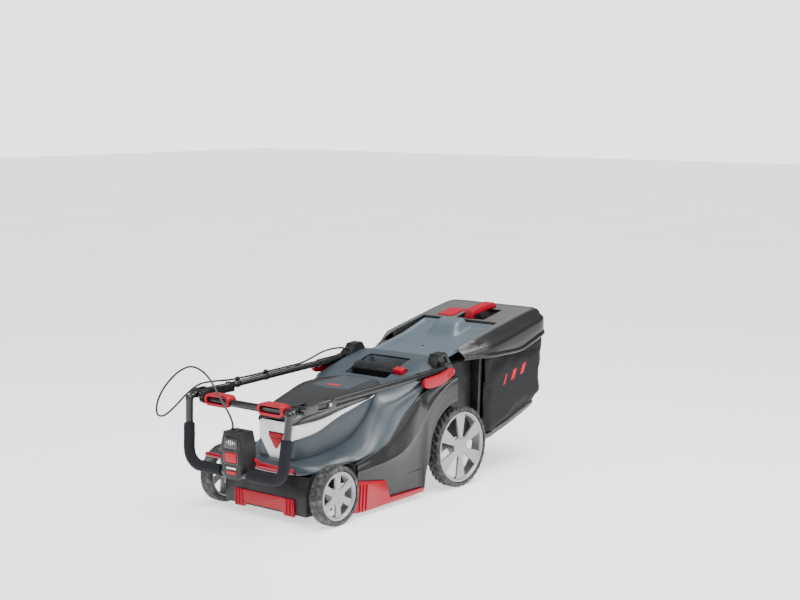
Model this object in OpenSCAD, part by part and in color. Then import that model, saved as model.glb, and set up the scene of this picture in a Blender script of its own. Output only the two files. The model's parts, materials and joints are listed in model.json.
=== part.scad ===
// Battery push lawn mower, folded for storage.
// X runs across, Y runs from the front to the grass box, Z is up.
// Heights start at the ground. Lengths in the modules start at the front axle.
// in_frame() moves everything so that the origin lies under the middle of the whole mower.

/* [Overall] */
// Distance between the front and rear wheel centres
wheel_base = 531; // [500:1:640]
// Half width of the body over the blade
body_half = 190; // [180:1:230]
// Half width of the front panel between the front wheels
nose_half = 147; // [130:1:150]
// Reach of the front panel ahead of the front axle
nose_reach = 50; // [45:1:60]
// Height of the lowest edge of the housing
ground_gap = 21; // [17:1:30]
// Height of the housing plate that carries the motor
plate_z = 90; // [85:1:108]
// Thickness of moulded housing walls
wall = 3.5; // [2.5:0.1:4.2]

/* [Wheels] */
// Radius of the front tyres
front_r = 79; // [70:1:84]
// Radius of the rear tyres
rear_r = 115; // [100:1:125]
// Width of the front tyres
front_w = 38; // [32:1:42]
// Width of the rear tyres
rear_w = 41; // [34:1:42]
// Half width over the front wheels
front_out = 219; // [212:1:240]
// Half width over the rear wheels
rear_out = 210; // [208:1:240]
// Thickness of the tyre band
tyre_t = 13; // [10:1:16]
// Radius of the axle rods
axle_r = 6; // [5:0.1:8]
// Radial clearance of running fits
run_gap = 0.06; // [0.03:0.01:0.1]

/* [Cutting gear] */
// Distance of the motor shaft behind the front axle
motor_y = 165; // [160:1:175]
// Length of the blade
blade_l = 360; // [320:1:366]
// Thickness of the blade
blade_t = 3.2; // [2.5:0.1:4]
// Height of the blade above the ground
blade_z = 38; // [34:1:44]
// Radius of the motor shaft
shaft_r = 8; // [6:0.5:10]
// Radius of the motor can
motor_r = 58; // [45:1:62]
// Height of the motor can
motor_h = 62; // [50:1:64]

/* [Handle] */
// Half distance between the lower handle tubes
tube_x = 184; // [182:1:215]
// Radius of the handle tubes
tube_r = 9; // [8:0.5:11]
// Distance of the handle pivots behind the front axle
pivot_y = 487; // [480:1:500]
// Height of the handle pivots
pivot_z = 340; // [338:1:346]
// Length of the lower handle from pivot to upper joint
lower_l = 597; // [560:1:610]
// Radius of the grip tube
bar_r = 10; // [8:0.5:11]
// Radius of the foam grip
foam_r = 15; // [14:0.5:18]
// Half width of the U grip at its bottom run
grip_half = 172; // [150:1:178]
// Height of the bottom run of the U grip
grip_z = 137; // [130:1:150]

/* [Grass box] */
// Half width of the grass box
box_half = 195; // [180:1:215]
// Distance of the box front behind the front axle
box_front = 655; // [652:1:670]
// Length of the box
box_l = 320; // [280:1:400]
// Wall thickness of the box shells
box_wall = 3; // [2:0.1:4]

/* [Hidden] */
$fn = 48;
gap = 0.4;
front_z = front_r;
rear_z = rear_r;
rear_y = wheel_base;
box_rear = box_front + box_l;
// front face of the start button, the foremost surface
switch_front = -172;
button_proud = 4;
mid_y = (box_rear + switch_front - button_proud) / 2;

// cranked axles: the tube that turns in the housing lies ahead of and below the wheel centre
crank_y = -34;
crank_z = -10;
arm_l = 50;
arm_tilt = 18;
rod_x = 157;
rod_r = 3;
crank_x = 168;

// the handle's upper joint
joint_y = pivot_y - lower_l;
joint_z = pivot_z - 24;
joint_x = tube_x;

// cable route from the gland beside the left pivot to the switch box
cable_r = 2.8;
CORD_RUN = [[-163, 458, 366], [-165, 440, 372], [-172, 405, 372], [-179, 370, 366], [-184, 330, 353],
  [-184, 290, 345], [-184, 250, 343], [-184, 200, 341], [-184, 150, 339], [-184, 100, 337],
  [-184, 50, 336], [-184, 10, 336], [-188, -30, 338]];
CORD_LOOP = [[-188, -30, 338], [-192, -56, 339], [-206, -86, 334], [-218, -120, 312], [-226, -160, 280],
  [-234, -188, 262], [-246, -200, 266], [-256, -192, 290], [-256, -174, 322], [-246, -152, 352],
  [-226, -134, 376], [-196, -124, 388], [-160, -122, 382], [-124, -126, 364], [-92, -132, 336],
  [-62, -138, 308], [-36, -142, 284], [-22, -144, 262], [-20, -145, 250]];
// direction of the cable where its two lengths meet
CORD_JOIN = [-4, -40, 2];

// ---- helpers ----
module in_frame() { translate([0, -mid_y, 0]) children(); }

module both_sides() {
  children();
  mirror([1, 0, 0]) children();
}

module rod_x_axis(x0, x1, y, z, r) {
  translate([x0, y, z]) rotate([0, 90, 0]) cylinder(r = r, h = x1 - x0);
}

// a profile given as [y, z] points, extruded from x0 to x1
module side_profile(x0, x1, points) {
  translate([x0, 0, 0]) rotate([90, 0, 90]) linear_extrude(x1 - x0) polygon(points);
}

// round rod between two points
module rod(p, q, r) {
  d = q - p;
  l = norm(d);
  translate(p) rotate([0, acos(d[2] / l), atan2(d[1], d[0])]) cylinder(r = r, h = l);
}

// outline of a flat bar with round ends of radius r between the points p and q
function bar_outline(p, q, r) = let (a = atan2(q[1] - p[1], q[0] - p[0])) concat(
  [for (t = [90:15:270]) p + r * [cos(a + t), sin(a + t)]],
  [for (t = [-90:15:90]) q + r * [cos(a + t), sin(a + t)]]);
module flat_link(x0, x1, p, q, r) side_profile(x0, x1, bar_outline(p, q, r));

// solid skin over a list of rings with the same number of points each
module loft(rings) {
  n = len(rings[0]);
  m = len(rings);
  points = [for (ring = rings) for (p = ring) p];
  sides = [for (i = [0:m - 2]) for (j = [0:n - 1])
    let (k = (j + 1) % n) each [[i * n + j, i * n + k, (i + 1) * n + k],
      [i * n + j, (i + 1) * n + k, (i + 1) * n + j]]];
  polyhedron(points, concat([[for (j = [n - 1:-1:0]) j]], sides,
    [[for (j = [0:n - 1]) (m - 1) * n + j]]));
}

// a ring at one y from right-hand [x, z] points that run from the bottom edge up to the middle
function mirrored_ring(y, half) = concat([for (p = half) [p[0], y, p[1]]],
  [for (i = [len(half) - 1:-1:0]) [-half[i][0], y, half[i][1]]]);
function unit(v) = v / norm(v);
function turn90(v) = [v[1], -v[0]];

// the same outline moved inwards by d, for outlines that run counter-clockwise
function inset(points, d) = [for (i = [0:len(points) - 1])
  let (n = len(points), a = points[(i + n - 1) % n], b = points[i], c = points[(i + 1) % n],
    n1 = -turn90(unit(b - a)), n2 = -turn90(unit(c - b)))
  b + d * (n1 + n2) / (1 + n1 * n2)];

// ---- shared outlines ----
// upper edge of the black housing as [y, z]; the hood sits on it
deck_top = [[-nose_reach, plate_z - 2], [-36, plate_z + 30], [-20, 127], [95, 142], [166, 158],
  [221, 177], [277, 226], [382, 300], [440, 314], [520, 318]];
function edge_z(y) = lookup(y, deck_top);
function top_line(y0, y1) = concat([[y0, edge_z(y0)]],
  [for (p = deck_top) if (p[0] > y0 && p[0] < y1) p], [[y1, edge_z(y1)]]);
function backwards(v) = [for (i = [len(v) - 1:-1:0]) v[i]];

cavity_r = body_half - 4;
chute_half = 150;
fender_half = body_half + 10;
arch_r = rear_r + 21;
pod_half = [[-4, 60], [0, 64], [41, 78], [120, 97], [200, 118], [240, 121], [262, 112]];
pod_crease = [[-6, 143], [41, 146], [120, 160], [161, 172], [202, 217], [229, 255], [262, 288]];
pod_band = [[-6, 203], [0, 206], [67, 219], [124, 250], [217, 286], [262, 292]];
pod_edge = [[-6, 245], [28, 247], [95, 257], [144, 272], [217, 288], [262, 296]];
pod_plan = concat(pod_half_xy(1), backwards(pod_half_xy(-1)));
function pod_half_xy(s) = [for (p = pod_half) [s * p[1], p[0]]];

// ---- housing ----
module axle_bores(r) {
  rod_x_axis(-160, 160, crank_y, front_z + crank_z, r);
  rod_x_axis(-160, 160, rear_y + crank_y, rear_z + crank_z, r);
}

module deck_outer() {
  side_profile(-nose_half, nose_half, concat([[-nose_reach, ground_gap], [100, ground_gap]],
    backwards(top_line(-nose_reach, 100))));
  side_profile(-body_half, body_half, concat([[92, ground_gap + 3], [372, ground_gap + 3]],
    backwards(top_line(92, 372))));
  difference() {
    side_profile(-fender_half, fender_half, concat([[366, ground_gap + 3], [370, ground_gap + 3],
      [376, 74], [399, 146], [520, 146]], backwards(top_line(366, 520))));
    both_sides() rod_x_axis(chute_half, 260, rear_y, rear_z, arch_r);
  }
  side_profile(-chute_half, chute_half, [[330, 40], [372, 28], [430, 84], [472, 108], [478, 92],
    [516, 92], [528, 122], [560, 127], [645, 128], [645, 352], [520, 330], [382, 296], [330, 250]]);
}

module deck() color("#1f2122") in_frame() difference() {
  union() {
    difference() {
      deck_outer();
      // space above the motor plate, under the hood
      side_profile(-nose_half + wall, nose_half - wall, [[-nose_reach + 6, plate_z], [100, plate_z],
        [100, 200], [-32, 200], [-32, plate_z + 34], [-nose_reach + 8, plate_z + 4]]);
      side_profile(-body_half + wall, body_half - wall, [[92 + wall, plate_z], [368, plate_z],
        [368, 400], [92 + wall, 400]]);
      difference() {
        side_profile(-fender_half + wall, fender_half - wall, [[366, plate_z], [376, plate_z],
          [400, 152], [516, 152], [516, 400], [366, 400]]);
        both_sides() rod_x_axis(chute_half - wall, 260, rear_y, rear_z, arch_r + wall);
        // roof of the chute
        side_profile(-chute_half, chute_half, [[345, 60], [520, 60], [520, 331], [505, 329],
          [430, 254], [345, plate_z]]);
      }
      // hollow nose ahead of the cutting chamber
      difference() {
        side_profile(-nose_half + wall, nose_half - wall, [[-nose_reach + wall, 0], [92, 0],
          [92, plate_z - 4], [-nose_reach + wall, plate_z - 4]]);
        translate([0, motor_y, 0]) cylinder(r = cavity_r + wall, h = 200, $fn = 96);
      }
    }
  }
  // cutting chamber and chute
  translate([0, motor_y, -10]) cylinder(r = cavity_r, h = plate_z - 4 + 10, $fn = 96);
  side_profile(-chute_half + wall, chute_half - wall, [[300, 0], [366, 0], [370, 34], [430, 89],
    [472, 113], [528, 126], [560, 131], [660, 132], [660, 346], [600, 342], [520, 328],
    [505, 325], [430, 250], [345, plate_z - 4], [300, plate_z - 4]]);
  side_profile(-chute_half + wall, chute_half - wall, [[520, 332], [540, 332], [660, 356],
    [660, 400], [520, 400]]);
  axle_bores(axle_r + run_gap);
  // the axle turns below the chute, between its two lugs
  side_profile(-chute_half + wall, chute_half - wall, [[474, 60], [524, 60], [524, 112],
    [474, 112]]);
  translate([0, motor_y, 50]) cylinder(r = shaft_r + 5, h = 80);
  // slots for the height link
  translate([-rod_x - 12, 60, 98]) cube([15, 60, 38]);
  translate([-rod_x - 12, 340, 112]) cube([15, 100, 60]);
  // flap hinge holes
  rod_x_axis(-160, 160, flap_y, flap_z, 3 + run_gap);
  for (s = screw_places) translate([s[0], s[1], plate_z - 10]) cylinder(r = 2.5, h = 60);
}

screw_places = [[-110, 320], [110, 320], [-110, 20], [110, 20]];
flap_y = 530;
flap_z = 341;

// hood rings: y, edge half width, shoulder x and z, crest x and z
hood_rings = [[-33, 98, 92, 130, 80, 134], [-24, 124, 112, 139, 96, 143],
  [0, 143, 128, 141, 100, 145], [50, 147, 132, 145, 104, 148], [92, 165, 142, 152, 106, 155],
  [112, 182, 152, 157, 109, 161], [166, 187, 158, 174, 112, 182], [221, 188, 160, 212, 124, 240],
  [250, 188, 162, 244, 128, 280], [277, 188, 164, 264, 124, 294], [330, 188, 168, 290, 120, 305],
  [382, 187, 168, 314, 122, 326], [440, 168, 158, 336, 122, 348], [500, 156, 150, 350, 124, 364],
  [513, 155, 150, 350, 128, 362]];
function hood_ring(h, d) = let (z0 = edge_z(h[0]) + gap)
  mirrored_ring(h[0], [[h[1] - d, d > 0 ? z0 - 40 : z0], [h[1] - d, z0 + 4 - d * 0.3],
    [h[2] - d, h[3] - d], [h[4], h[5] - d], [h[4] * 0.5, h[5] + 1 - d]]);
well_y = [354, 468];
well_half = 76;

module hood() color("#46525b") in_frame() difference() {
  union() {
    difference() {
      loft([for (h = hood_rings) hood_ring(h, 0)]);
      loft([for (h = hood_rings) let (r = hood_ring(h, wall))
        h[0] == -33 ? [for (p = r) [p[0], p[1] - 2, p[2]]] : h[0] == 513 ? [for (p = r)
          [p[0], p[1] + 2, p[2]]] : r]);
    }
    // finger well under the carry handle
    side_profile(-well_half - wall, well_half + wall, [[well_y[0] - wall, 268],
      [well_y[1] + wall, 296], [well_y[1] + wall, 352], [well_y[0] - wall, 314]]);
  }
  side_profile(-well_half, well_half, [[well_y[0], 272], [well_y[1], 300], [well_y[1], 400],
    [well_y[0], 400]]);
  // opening that the pod stands in
  translate([0, 0, 100]) linear_extrude(300) polygon(inset(pod_plan, -gap));
  // corners that the handle brackets stand in
  both_sides() translate([bracket_x[0] - gap, bracket_y[0] - gap, 300]) cube([60, 60, 80]);
  // seat of the height button
  translate([well_half - 1, 380, 250]) cube([40, 26, 120]);
  for (s = screw_places) translate([s[0], s[1], 100]) cylinder(r = 5, h = 300);
}

module pod_shell() difference() {
  linear_extrude(400) polygon(pod_plan);
  translate([0, 0, -1]) linear_extrude(402) polygon(inset(pod_plan, wall));
}

module pod_between(low, high) side_profile(-200, 200, concat(
  [for (p = low) [p[0], p[1] + gap]], backwards([for (p = high) [p[0], p[1]]])));

module white_zone() {
  pod_between(pod_band, pod_edge);
  // keystone front panel
  translate([0, 14, 0]) rotate([90, 0, 0]) linear_extrude(30)
    polygon([[-20, 136.6], [20, 136.6], [20, 143.4], [62, 206], [62, 244], [-62, 244], [-62, 206], [-20, 143.4]]);
}

module latch_shape(d) translate([0, 8, 0]) rotate([90, 0, 0]) linear_extrude(16)
  polygon([[-5 - d, 175 - d], [5 + d, 175 - d], [26 + d, 206], [25 + d, 215 + d],
    [-25 - d, 215 + d], [-26 - d, 206]]);

module motor_cover() color("#46525b") in_frame() difference() {
  intersection() {
    pod_shell();
    pod_between([for (p = pod_crease) [p[0], p[1] - 6]], pod_edge);
  }
  white_zone();
}

module white_trim() color("#f1f1ef") in_frame() difference() {
  intersection() {
    pod_shell();
    difference() {
      white_zone();
      translate([-100, -20, 244.6]) cube([200, 30, 60]);
    }
  }
  latch_shape(gap);
}

module lid_latch() color("#d81f35") in_frame() intersection() {
  latch_shape(0);
  translate([-60, -7, 100]) cube([120, 10, 200]);
}

// lid rings: y, half width, edge height, top height
lid_rings = [[-7, 60, 246, 256], [0, 67, 247, 263], [30, 77, 249, 276], [76, 90, 255, 285],
  [140, 103, 273, 297], [195, 117, 286, 306], [228, 121, 291, 309], [262, 113, 300, 312],
  [295, 96, 308, 315], [326, 72, 312, 318]];
function lid_ring(h, d) = mirrored_ring(h[0], [[h[1] - d, h[2] - (d > 0 ? 30 : 0)],
  [h[1] - d, h[2] + (h[3] - h[2]) * 0.45 - d * 0.3], [h[1] - 7 - d, h[2] + (h[3] - h[2]) * 0.8 - d * 0.7],
  [h[1] - 22 - d, h[3] - d], [h[1] * 0.4, h[3] + 2 - d]]);
lid_hinge = [322, 314];

module battery_lid() color("#2c2f31") in_frame() {
  difference() {
    loft([for (h = lid_rings) lid_ring(h, 0)]);
    loft([for (i = [0:len(lid_rings) - 1]) let (h = lid_rings[i], r = lid_ring(h, 2.4))
      i == 0 ? [for (p = r) [p[0], p[1] + 2.4, p[2]]] :
      i == len(lid_rings) - 1 ? [for (p = r) [p[0], p[1] - 2.4, p[2]]] : r]);
  }
}

module trim_strip() color("#d81f35") in_frame() difference() {
  intersection() {
    linear_extrude(200) polygon([[-96, -31], [-70, -37], [-30, -41], [30, -41], [70, -37],
      [96, -31], [96, -20], [-96, -20]]);
    translate([-120, -60, 122]) cube([240, 50, 7]);
  }
  side_profile(-200, 200, [[-60, 100], [-36, plate_z + 30.4], [-20, 127.4], [0, 129.5], [0, 100]]);
  loft([for (h = hood_rings) hood_ring([h[0] - 1, h[1] + 1, h[2] + 1, h[3] + 1, h[4], h[5] + 1],
    0)]);
}

module comb_ribs(n, pitch, x0, h) for (i = [0:n - 1]) translate([x0 + i * pitch, 0, 0])
  linear_extrude(h) polygon([[-2.5, 0], [-1.5, -4], [1.5, -4], [2.5, 0]]);

module front_comb() color("#d81f35") in_frame() {
  translate([0, -nose_reach - 0.4, 0]) {
    rotate([90, 0, 0]) linear_extrude(4)
      polygon([[-109, 16], [-72, 16], [-64, 27], [64, 27], [72, 16], [109, 16], [106, 62],
        [-106, 62]]);
    translate([0, -4, 17]) {
      comb_ribs(3, 11, -103, 44);
      comb_ribs(3, 11, 81, 44);
    }
  }
}

module side_comb() {
  side_profile(body_half + 0.4, body_half + 12, [[72, 16], [105, 12], [365, 17], [365, 29],
    [222, 30], [204, 80], [96, 97], [86, 60]]);
  for (i = [0:2]) side_profile(body_half + 12, body_half + 16,
    [[92 + i * 13, 15], [98 + i * 13, 14], [103 + i * 13, 88 - i * 2], [98 + i * 13, 89 - i * 2]]);
}

module side_comb_right() color("#d81f35") in_frame() side_comb();
module side_comb_left() color("#d81f35") in_frame() mirror([1, 0, 0]) side_comb();

module carry_handle() color("#2a2d2f") in_frame() {
  translate([0, 409, 330]) rotate([20, 0, 0]) scale(1) intersection() {
    rod_x_axis(-well_half + gap, well_half - gap, 0, -18, 36);
    translate([-80, -21, -14]) cube([160, 42, 60]);
  }
}

module height_button() color("#d81f35") in_frame()
  translate([well_half + 3, 381, 326]) rotate([13, 0, 0]) cube([34, 23, 20]);

// the bay holds the battery between the motor and the lid
module battery_tray() color("#26292b") in_frame() difference() {
  translate([-64, 20, 156]) cube([128, 196, 74]);
  translate([-61, 23, 159]) cube([122, 190, 90]);
}
module battery_pack() color("#303335") in_frame() {
  translate([-58, 50, 159.4]) cube([116, 158, 66]);
  translate([-40, 90, 225]) cube([80, 110, 16]);
}
module safety_key() color("#d81f35") in_frame() {
  translate([-12, 28, 190]) cube([24, 8, 42]);
  translate([-16, 26, 232]) cube([32, 12, 8]);
}
module controller() color("#2f6b45") in_frame() {
  translate([-60, 244, plate_z + 6]) cube([120, 70, 2]);
  for (x = [-54, 54], y = [249, 309]) translate([x, y, plate_z]) cylinder(r = 3, h = 6);
  for (i = [0:3]) translate([-45 + i * 26, 270, plate_z + 8]) cylinder(r = 8, h = 22);
}

module motor_housing() color("#8d9295") in_frame() translate([0, motor_y, 0]) difference() {
  union() {
    translate([0, 0, plate_z]) cylinder(r = motor_r, h = motor_h);
    translate([0, 0, plate_z]) cylinder(r = motor_r + 8, h = 4);
  }
  translate([0, 0, plate_z + 4]) cylinder(r = motor_r - 3, h = motor_h - 8);
  translate([0, 0, plate_z - 5]) cylinder(r = shaft_r + run_gap, h = motor_h + 20);
}
module motor_shaft() color("#b9bcbe") in_frame() translate([0, motor_y, 0]) {
  translate([0, 0, blade_z + blade_t]) cylinder(r = shaft_r, h = plate_z + motor_h - blade_z - 6);
  translate([0, 0, plate_z + 9]) cylinder(r = motor_r - 12, h = motor_h - 18);
}
module cooling_fan() color("#2a2d2f") in_frame() translate([0, motor_y, 0]) difference() {
  union() {
    translate([0, 0, 66]) cylinder(r = 62, h = 3);
    translate([0, 0, 66]) cylinder(r = 18, h = 14);
    for (a = [0:36:324]) rotate(a) translate([16, -1, 69]) cube([44, 2, 10]);
  }
  translate([0, 0, 60]) cylinder(r = shaft_r + run_gap, h = 30);
}
module blade_carrier() color("#303335") in_frame() translate([0, motor_y, 0]) difference() {
  union() {
    translate([0, 0, blade_z + blade_t]) cylinder(r = 30, h = 8);
    translate([0, 0, blade_z + blade_t]) cylinder(r = 16, h = 22);
  }
  translate([0, 0, 30]) cylinder(r = shaft_r + run_gap, h = 60);
}
module blade() color("#9aa0a3") in_frame() translate([0, motor_y, blade_z]) difference() {
  intersection() {
    union() {
      translate([-blade_l / 2, -24, 0]) cube([blade_l, 48, blade_t]);
      for (s = [0, 180]) rotate(s) translate([blade_l / 2 - 70, 22, 0.4]) rotate([28, 0, 0])
        cube([64, 16, blade_t]);
    }
    translate([0, 0, -1]) cylinder(r = blade_l / 2, h = 40, $fn = 96);
  }
  translate([0, 0, -1]) cylinder(r = 5.2, h = 10);
}
module blade_bolt() color("#c6c9ca") in_frame() translate([0, motor_y, blade_z]) {
  translate([0, 0, -1.5]) cylinder(r = 15, h = 1.5);
  translate([0, 0, -8]) cylinder(r = 9, h = 6.5, $fn = 6);
  translate([0, 0, -1]) cylinder(r = 5, h = blade_t + 0.8);
}

// ---- brackets and small fixed pieces ----
pivot_pin_r = 5;
bracket_x = [chute_half + 1, tube_x - tube_r - 4];
bracket_y = [pivot_y - 24, pivot_y + 26];
module handle_brackets() color("#202223") in_frame() both_sides() {
  difference() {
    translate([bracket_x[0], bracket_y[0], edge_z(pivot_y) + 1])
      cube([bracket_x[1] - bracket_x[0], bracket_y[1] - bracket_y[0], pivot_z + 34 - edge_z(pivot_y)]);
    translate([chute_half, pivot_y + 8, pivot_z + 20]) cube([60, 40, 40]);
  }
  rod_x_axis(chute_half + 6, tube_x + 12, pivot_y, pivot_z, pivot_pin_r);
}
module housing_screws() color("#b9bcbe") in_frame() for (s = screw_places)
  translate([s[0], s[1], plate_z - 6]) {
    cylinder(r = 2.4, h = edge_z(s[1]) - plate_z - 8);
    translate([0, 0, edge_z(s[1]) - plate_z - 8]) cylinder(r = 4.4, h = 4);
  }
module cable_gland() color("#202223") in_frame() intersection() {
  translate(CORD_RUN[0] + [0, 6, 0]) rotate([90, 0, 0]) cylinder(r1 = 6.5, r2 = 4.5, h = 4.4);
  translate([-200, 440, 340]) cube([80, bracket_y[0] - 440, 60]);
}

// ---- wheels ----
module tyre(x_out, w, r, y, z) {
  translate([x_out - w, y, z]) rotate([0, 90, 0]) rotate_extrude($fn = 96)
    polygon([[r - tyre_t, 0], [r - 5, 0], [r - 1.2, 3], [r, 7], [r, w - 7], [r - 1.2, w - 3],
      [r - 5, w], [r - tyre_t, w]]);
}
// disc with six windows, a hub and a dished face towards the outside
module disc(x_out, w, r, y, z, hub) {
  rim = r - tyre_t;
  translate([x_out - w, y, z]) rotate([0, 90, 0]) difference() {
    rotate_extrude($fn = 96) polygon([[axle_r + run_gap, 2], [hub, 2], [hub, w - 13],
      [rim - 6, w - 9], [rim - 6, 1], [rim - 2, 1], [rim - 2, w - 1], [rim - 8, w - 1],
      [rim - 10, w - 5], [hub + 4, w - 5], [hub, w - 2], [axle_r + run_gap, w - 2]]);
    for (a = [0:60:300]) rotate(a + 30) translate([0, 0, w - 20]) linear_extrude(40)
      polygon([[hub + 7, -rim * 0.07], [rim - 14, -rim * 0.27], [rim - 11, 0],
        [rim - 14, rim * 0.27], [hub + 7, rim * 0.07]]);
  }
}
module front_tyre() tyre(front_out, front_w, front_r, 0, front_z);
module rear_tyre() tyre(rear_out, rear_w, rear_r, rear_y, rear_z);
module front_disc() disc(front_out - 1, front_w - 2, front_r, 0, front_z, 17);
module rear_disc() disc(rear_out - 1, rear_w - 2, rear_r, rear_y, rear_z, 22);
module front_tyre_left() color("#2b2c2d") in_frame() mirror([1, 0, 0]) front_tyre();
module front_tyre_right() color("#2b2c2d") in_frame() front_tyre();
module rear_tyre_left() color("#2b2c2d") in_frame() mirror([1, 0, 0]) rear_tyre();
module rear_tyre_right() color("#2b2c2d") in_frame() rear_tyre();
module front_disc_left() color("#b5b8ba") in_frame() mirror([1, 0, 0]) front_disc();
module front_disc_right() color("#b5b8ba") in_frame() front_disc();
module rear_disc_left() color("#b5b8ba") in_frame() mirror([1, 0, 0]) rear_disc();
module rear_disc_right() color("#b5b8ba") in_frame() rear_disc();

// ---- cranked axles and their link ----
crank_in = chute_half + 3;
arm_y = -arm_l * sin(arm_tilt);
arm_z = arm_l * cos(arm_tilt);
module cranked_axle(y, z, out) {
  rod_x_axis(-crank_in - 6, crank_in + 6, y + crank_y, z + crank_z, axle_r);
  both_sides() {
    flat_link(crank_in, crank_in + 6, [y + crank_y, z + crank_z], [y, z], axle_r + 3);
    rod_x_axis(crank_in, out - 6, y, z, axle_r);
  }
  mirror([1, 0, 0]) {
    flat_link(crank_in, crank_in + 6, [y + crank_y, z + crank_z],
      [y + crank_y + arm_y, z + crank_z + arm_z], 5);
    rod_x_axis(crank_in, crank_in + 11, y + crank_y + arm_y, z + crank_z + arm_z, rod_r);
  }
}
module front_axle() color("#8d9295") in_frame() cranked_axle(0, front_z, front_out);
module rear_axle() color("#8d9295") in_frame() cranked_axle(rear_y, rear_z, rear_out);
module height_link() color("#8d9295") in_frame() mirror([1, 0, 0]) difference() {
  flat_link(crank_in + 6.8, crank_in + 9.8, [crank_y + arm_y, front_z + crank_z + arm_z],
    [rear_y + crank_y + arm_y, rear_z + crank_z + arm_z], 5);
  rod_x_axis(crank_in, crank_in + 20, crank_y + arm_y, front_z + crank_z + arm_z,
    rod_r + run_gap);
  rod_x_axis(crank_in, crank_in + 20, rear_y + crank_y + arm_y, rear_z + crank_z + arm_z,
    rod_r + 0.5);
}

// ---- rear flap ----
flap_half = 133;
flap_top = [[520, 360], [560, 368], [671, 391], [740, 413], [785, 428]];
module rear_flap() color("#5d6a73") in_frame() {
  difference() {
    side_profile(-flap_half, flap_half, concat([[524, 349], [540, 350], [671, 379], [785, 415]],
      backwards([for (p = flap_top) p])));
    // dished middle
    side_profile(-flap_half + 16, flap_half - 16, [[526, 359], [560, 361.5], [671, 385],
      [740, 408], [770, 418], [770, 460], [526, 460]]);
  }
  // raised grip at the rear edge
  hull() {
    side_profile(-30, 30, [[712, 440], [752, 462], [766, 461], [772, 440]]);
    side_profile(-52, 52, [[690, 389], [700, 406], [772, 424], [772, 414]]);
  }
  // hinge ears
  both_sides() {
    side_profile(flap_half - 8, flap_half, [[524, 350], [523, 340], [530, 335], [537, 340],
      [545, 352]]);
    rod_x_axis(flap_half - 2, chute_half - 0.5, flap_y, flap_z, 3);
  }
}

// ---- grass box ----
box_rise = 0.21;
function box_ridge(y) = 402 + (y - box_front) * box_rise;
box_edge = [[box_front - 14, 372], [box_front + 81, 388], [box_rear - 30, 442],
  [box_rear - 3, 437]];
box_lip = [[box_front - 14, 350], [box_front + 171, 350], [box_rear - 3, 391]];
box_rings_y = [box_front - 14, box_front + 30, box_front + 81, box_front + 171, box_rear - 30,
  box_rear];
function box_ring(y, d) = let (last = y > box_rear - 10, first = y < box_front, w = box_half -
  (last ? 22 : first ? 22 : 0)) mirrored_ring(y, [[w - 2 - d, lookup(y, box_lip) - (d > 0 ? 60 : 0)],
    [w - d, lookup(y, box_edge) - 4 - d * 0.5], [w - 8 - d, lookup(y, box_edge) + 3 - d],
    [min(168, w - 12), box_ridge(y) - 10 - (last ? 12 : 0) - d], [144, box_ridge(y) - (last ? 16 : 0) - d]]);
bay_half = flap_half + 6;
bay_rear = 793;
function bay_floor(y) = lookup(y, [[500, 340], [641, 362], [671, 370], [bay_rear, 408]]);

module box_top() color("#2a2c2e") in_frame() {
  difference() {
    loft([for (y = box_rings_y) box_ring(y, 0)]);
    loft([for (y = box_rings_y) let (r = box_ring(y, box_wall))
      y > box_rear - 1 ? [for (p = r) p - [0, box_wall, 0]] :
      y < box_front ? [for (p = r) p - [0, 2, 0]] : r]);
    // bay for the flap and the finger hole beside the handle
    side_profile(-bay_half, bay_half, [[600, 330], [bay_rear, 330], [bay_rear, 480], [600, 480]]);
    translate([-22, bay_rear + 8, 380]) cube([104, 98, 120]);
  }
  // floor and side walls of the bay
  side_profile(-bay_half - 2.5, bay_half + 2.5, [[box_front - 14, bay_floor(box_front - 14) - 3],
    [bay_rear, bay_floor(bay_rear) - 3], [bay_rear, bay_floor(bay_rear)],
    [box_front - 14, bay_floor(box_front - 14)]]);
  both_sides() side_profile(bay_half, bay_half + 2.5, [[box_front - 14, bay_floor(box_front - 14) - 3],
    [bay_rear, bay_floor(bay_rear) - 3], [bay_rear, box_ridge(bay_rear) - 1],
    [box_front - 14, box_ridge(box_front - 14) - 1]]);
  side_profile(-bay_half - 2.5, bay_half + 2.5, [[bay_rear, bay_floor(bay_rear) - 3],
    [bay_rear + 2.5, bay_floor(bay_rear) - 3], [bay_rear + 2.5, box_ridge(bay_rear) - 1],
    [bay_rear, box_ridge(bay_rear) - 1]]);
  // finger well
  difference() {
    side_profile(-25, 85, [[bay_rear + 5, 395], [bay_rear + 109, 395],
      [bay_rear + 109, box_ridge(bay_rear + 109) - 1], [bay_rear + 5, box_ridge(bay_rear + 5) - 1]]);
    translate([-22, bay_rear + 8, 398]) cube([104, 98, 60]);
  }
}

bag_side = [[box_front + 14, 107], [718, 112], [795, 135], [925, 178], [box_rear - 15, 208],
  [box_rear - 28, 276], [box_rear - 12, 387.5], [box_front + 171, 348], [box_front + 14, 348]];
module box_cross(y0, y1, d) translate([0, y1, 0]) rotate([90, 0, 0]) linear_extrude(y1 - y0)
  polygon([[-176 + d, 60], [176 - d, 60], [box_half - 6 - d, 352], [box_half - 6 - d, 420],
    [-box_half + 6 + d, 420], [-box_half + 6 + d, 352]]);
module box_bag() color("#3a3b3d") in_frame() difference() {
  intersection() {
    side_profile(-box_half, box_half, bag_side);
    box_cross(600, 1100, 0);
  }
  intersection() {
    side_profile(-box_half, box_half, concat([[box_front, 119]],
      [for (i = [1:6]) inset(bag_side, box_wall)[i]], [[box_front + 171, 420],
      [box_front, 420]]));
    box_cross(600, 1100, box_wall);
  }
  side_profile(-400, 400, [[600, 60], [box_front + 14, 60], [718, 70], [718, 124.4],
    [box_front + 14, 119.4]]);
}
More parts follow.
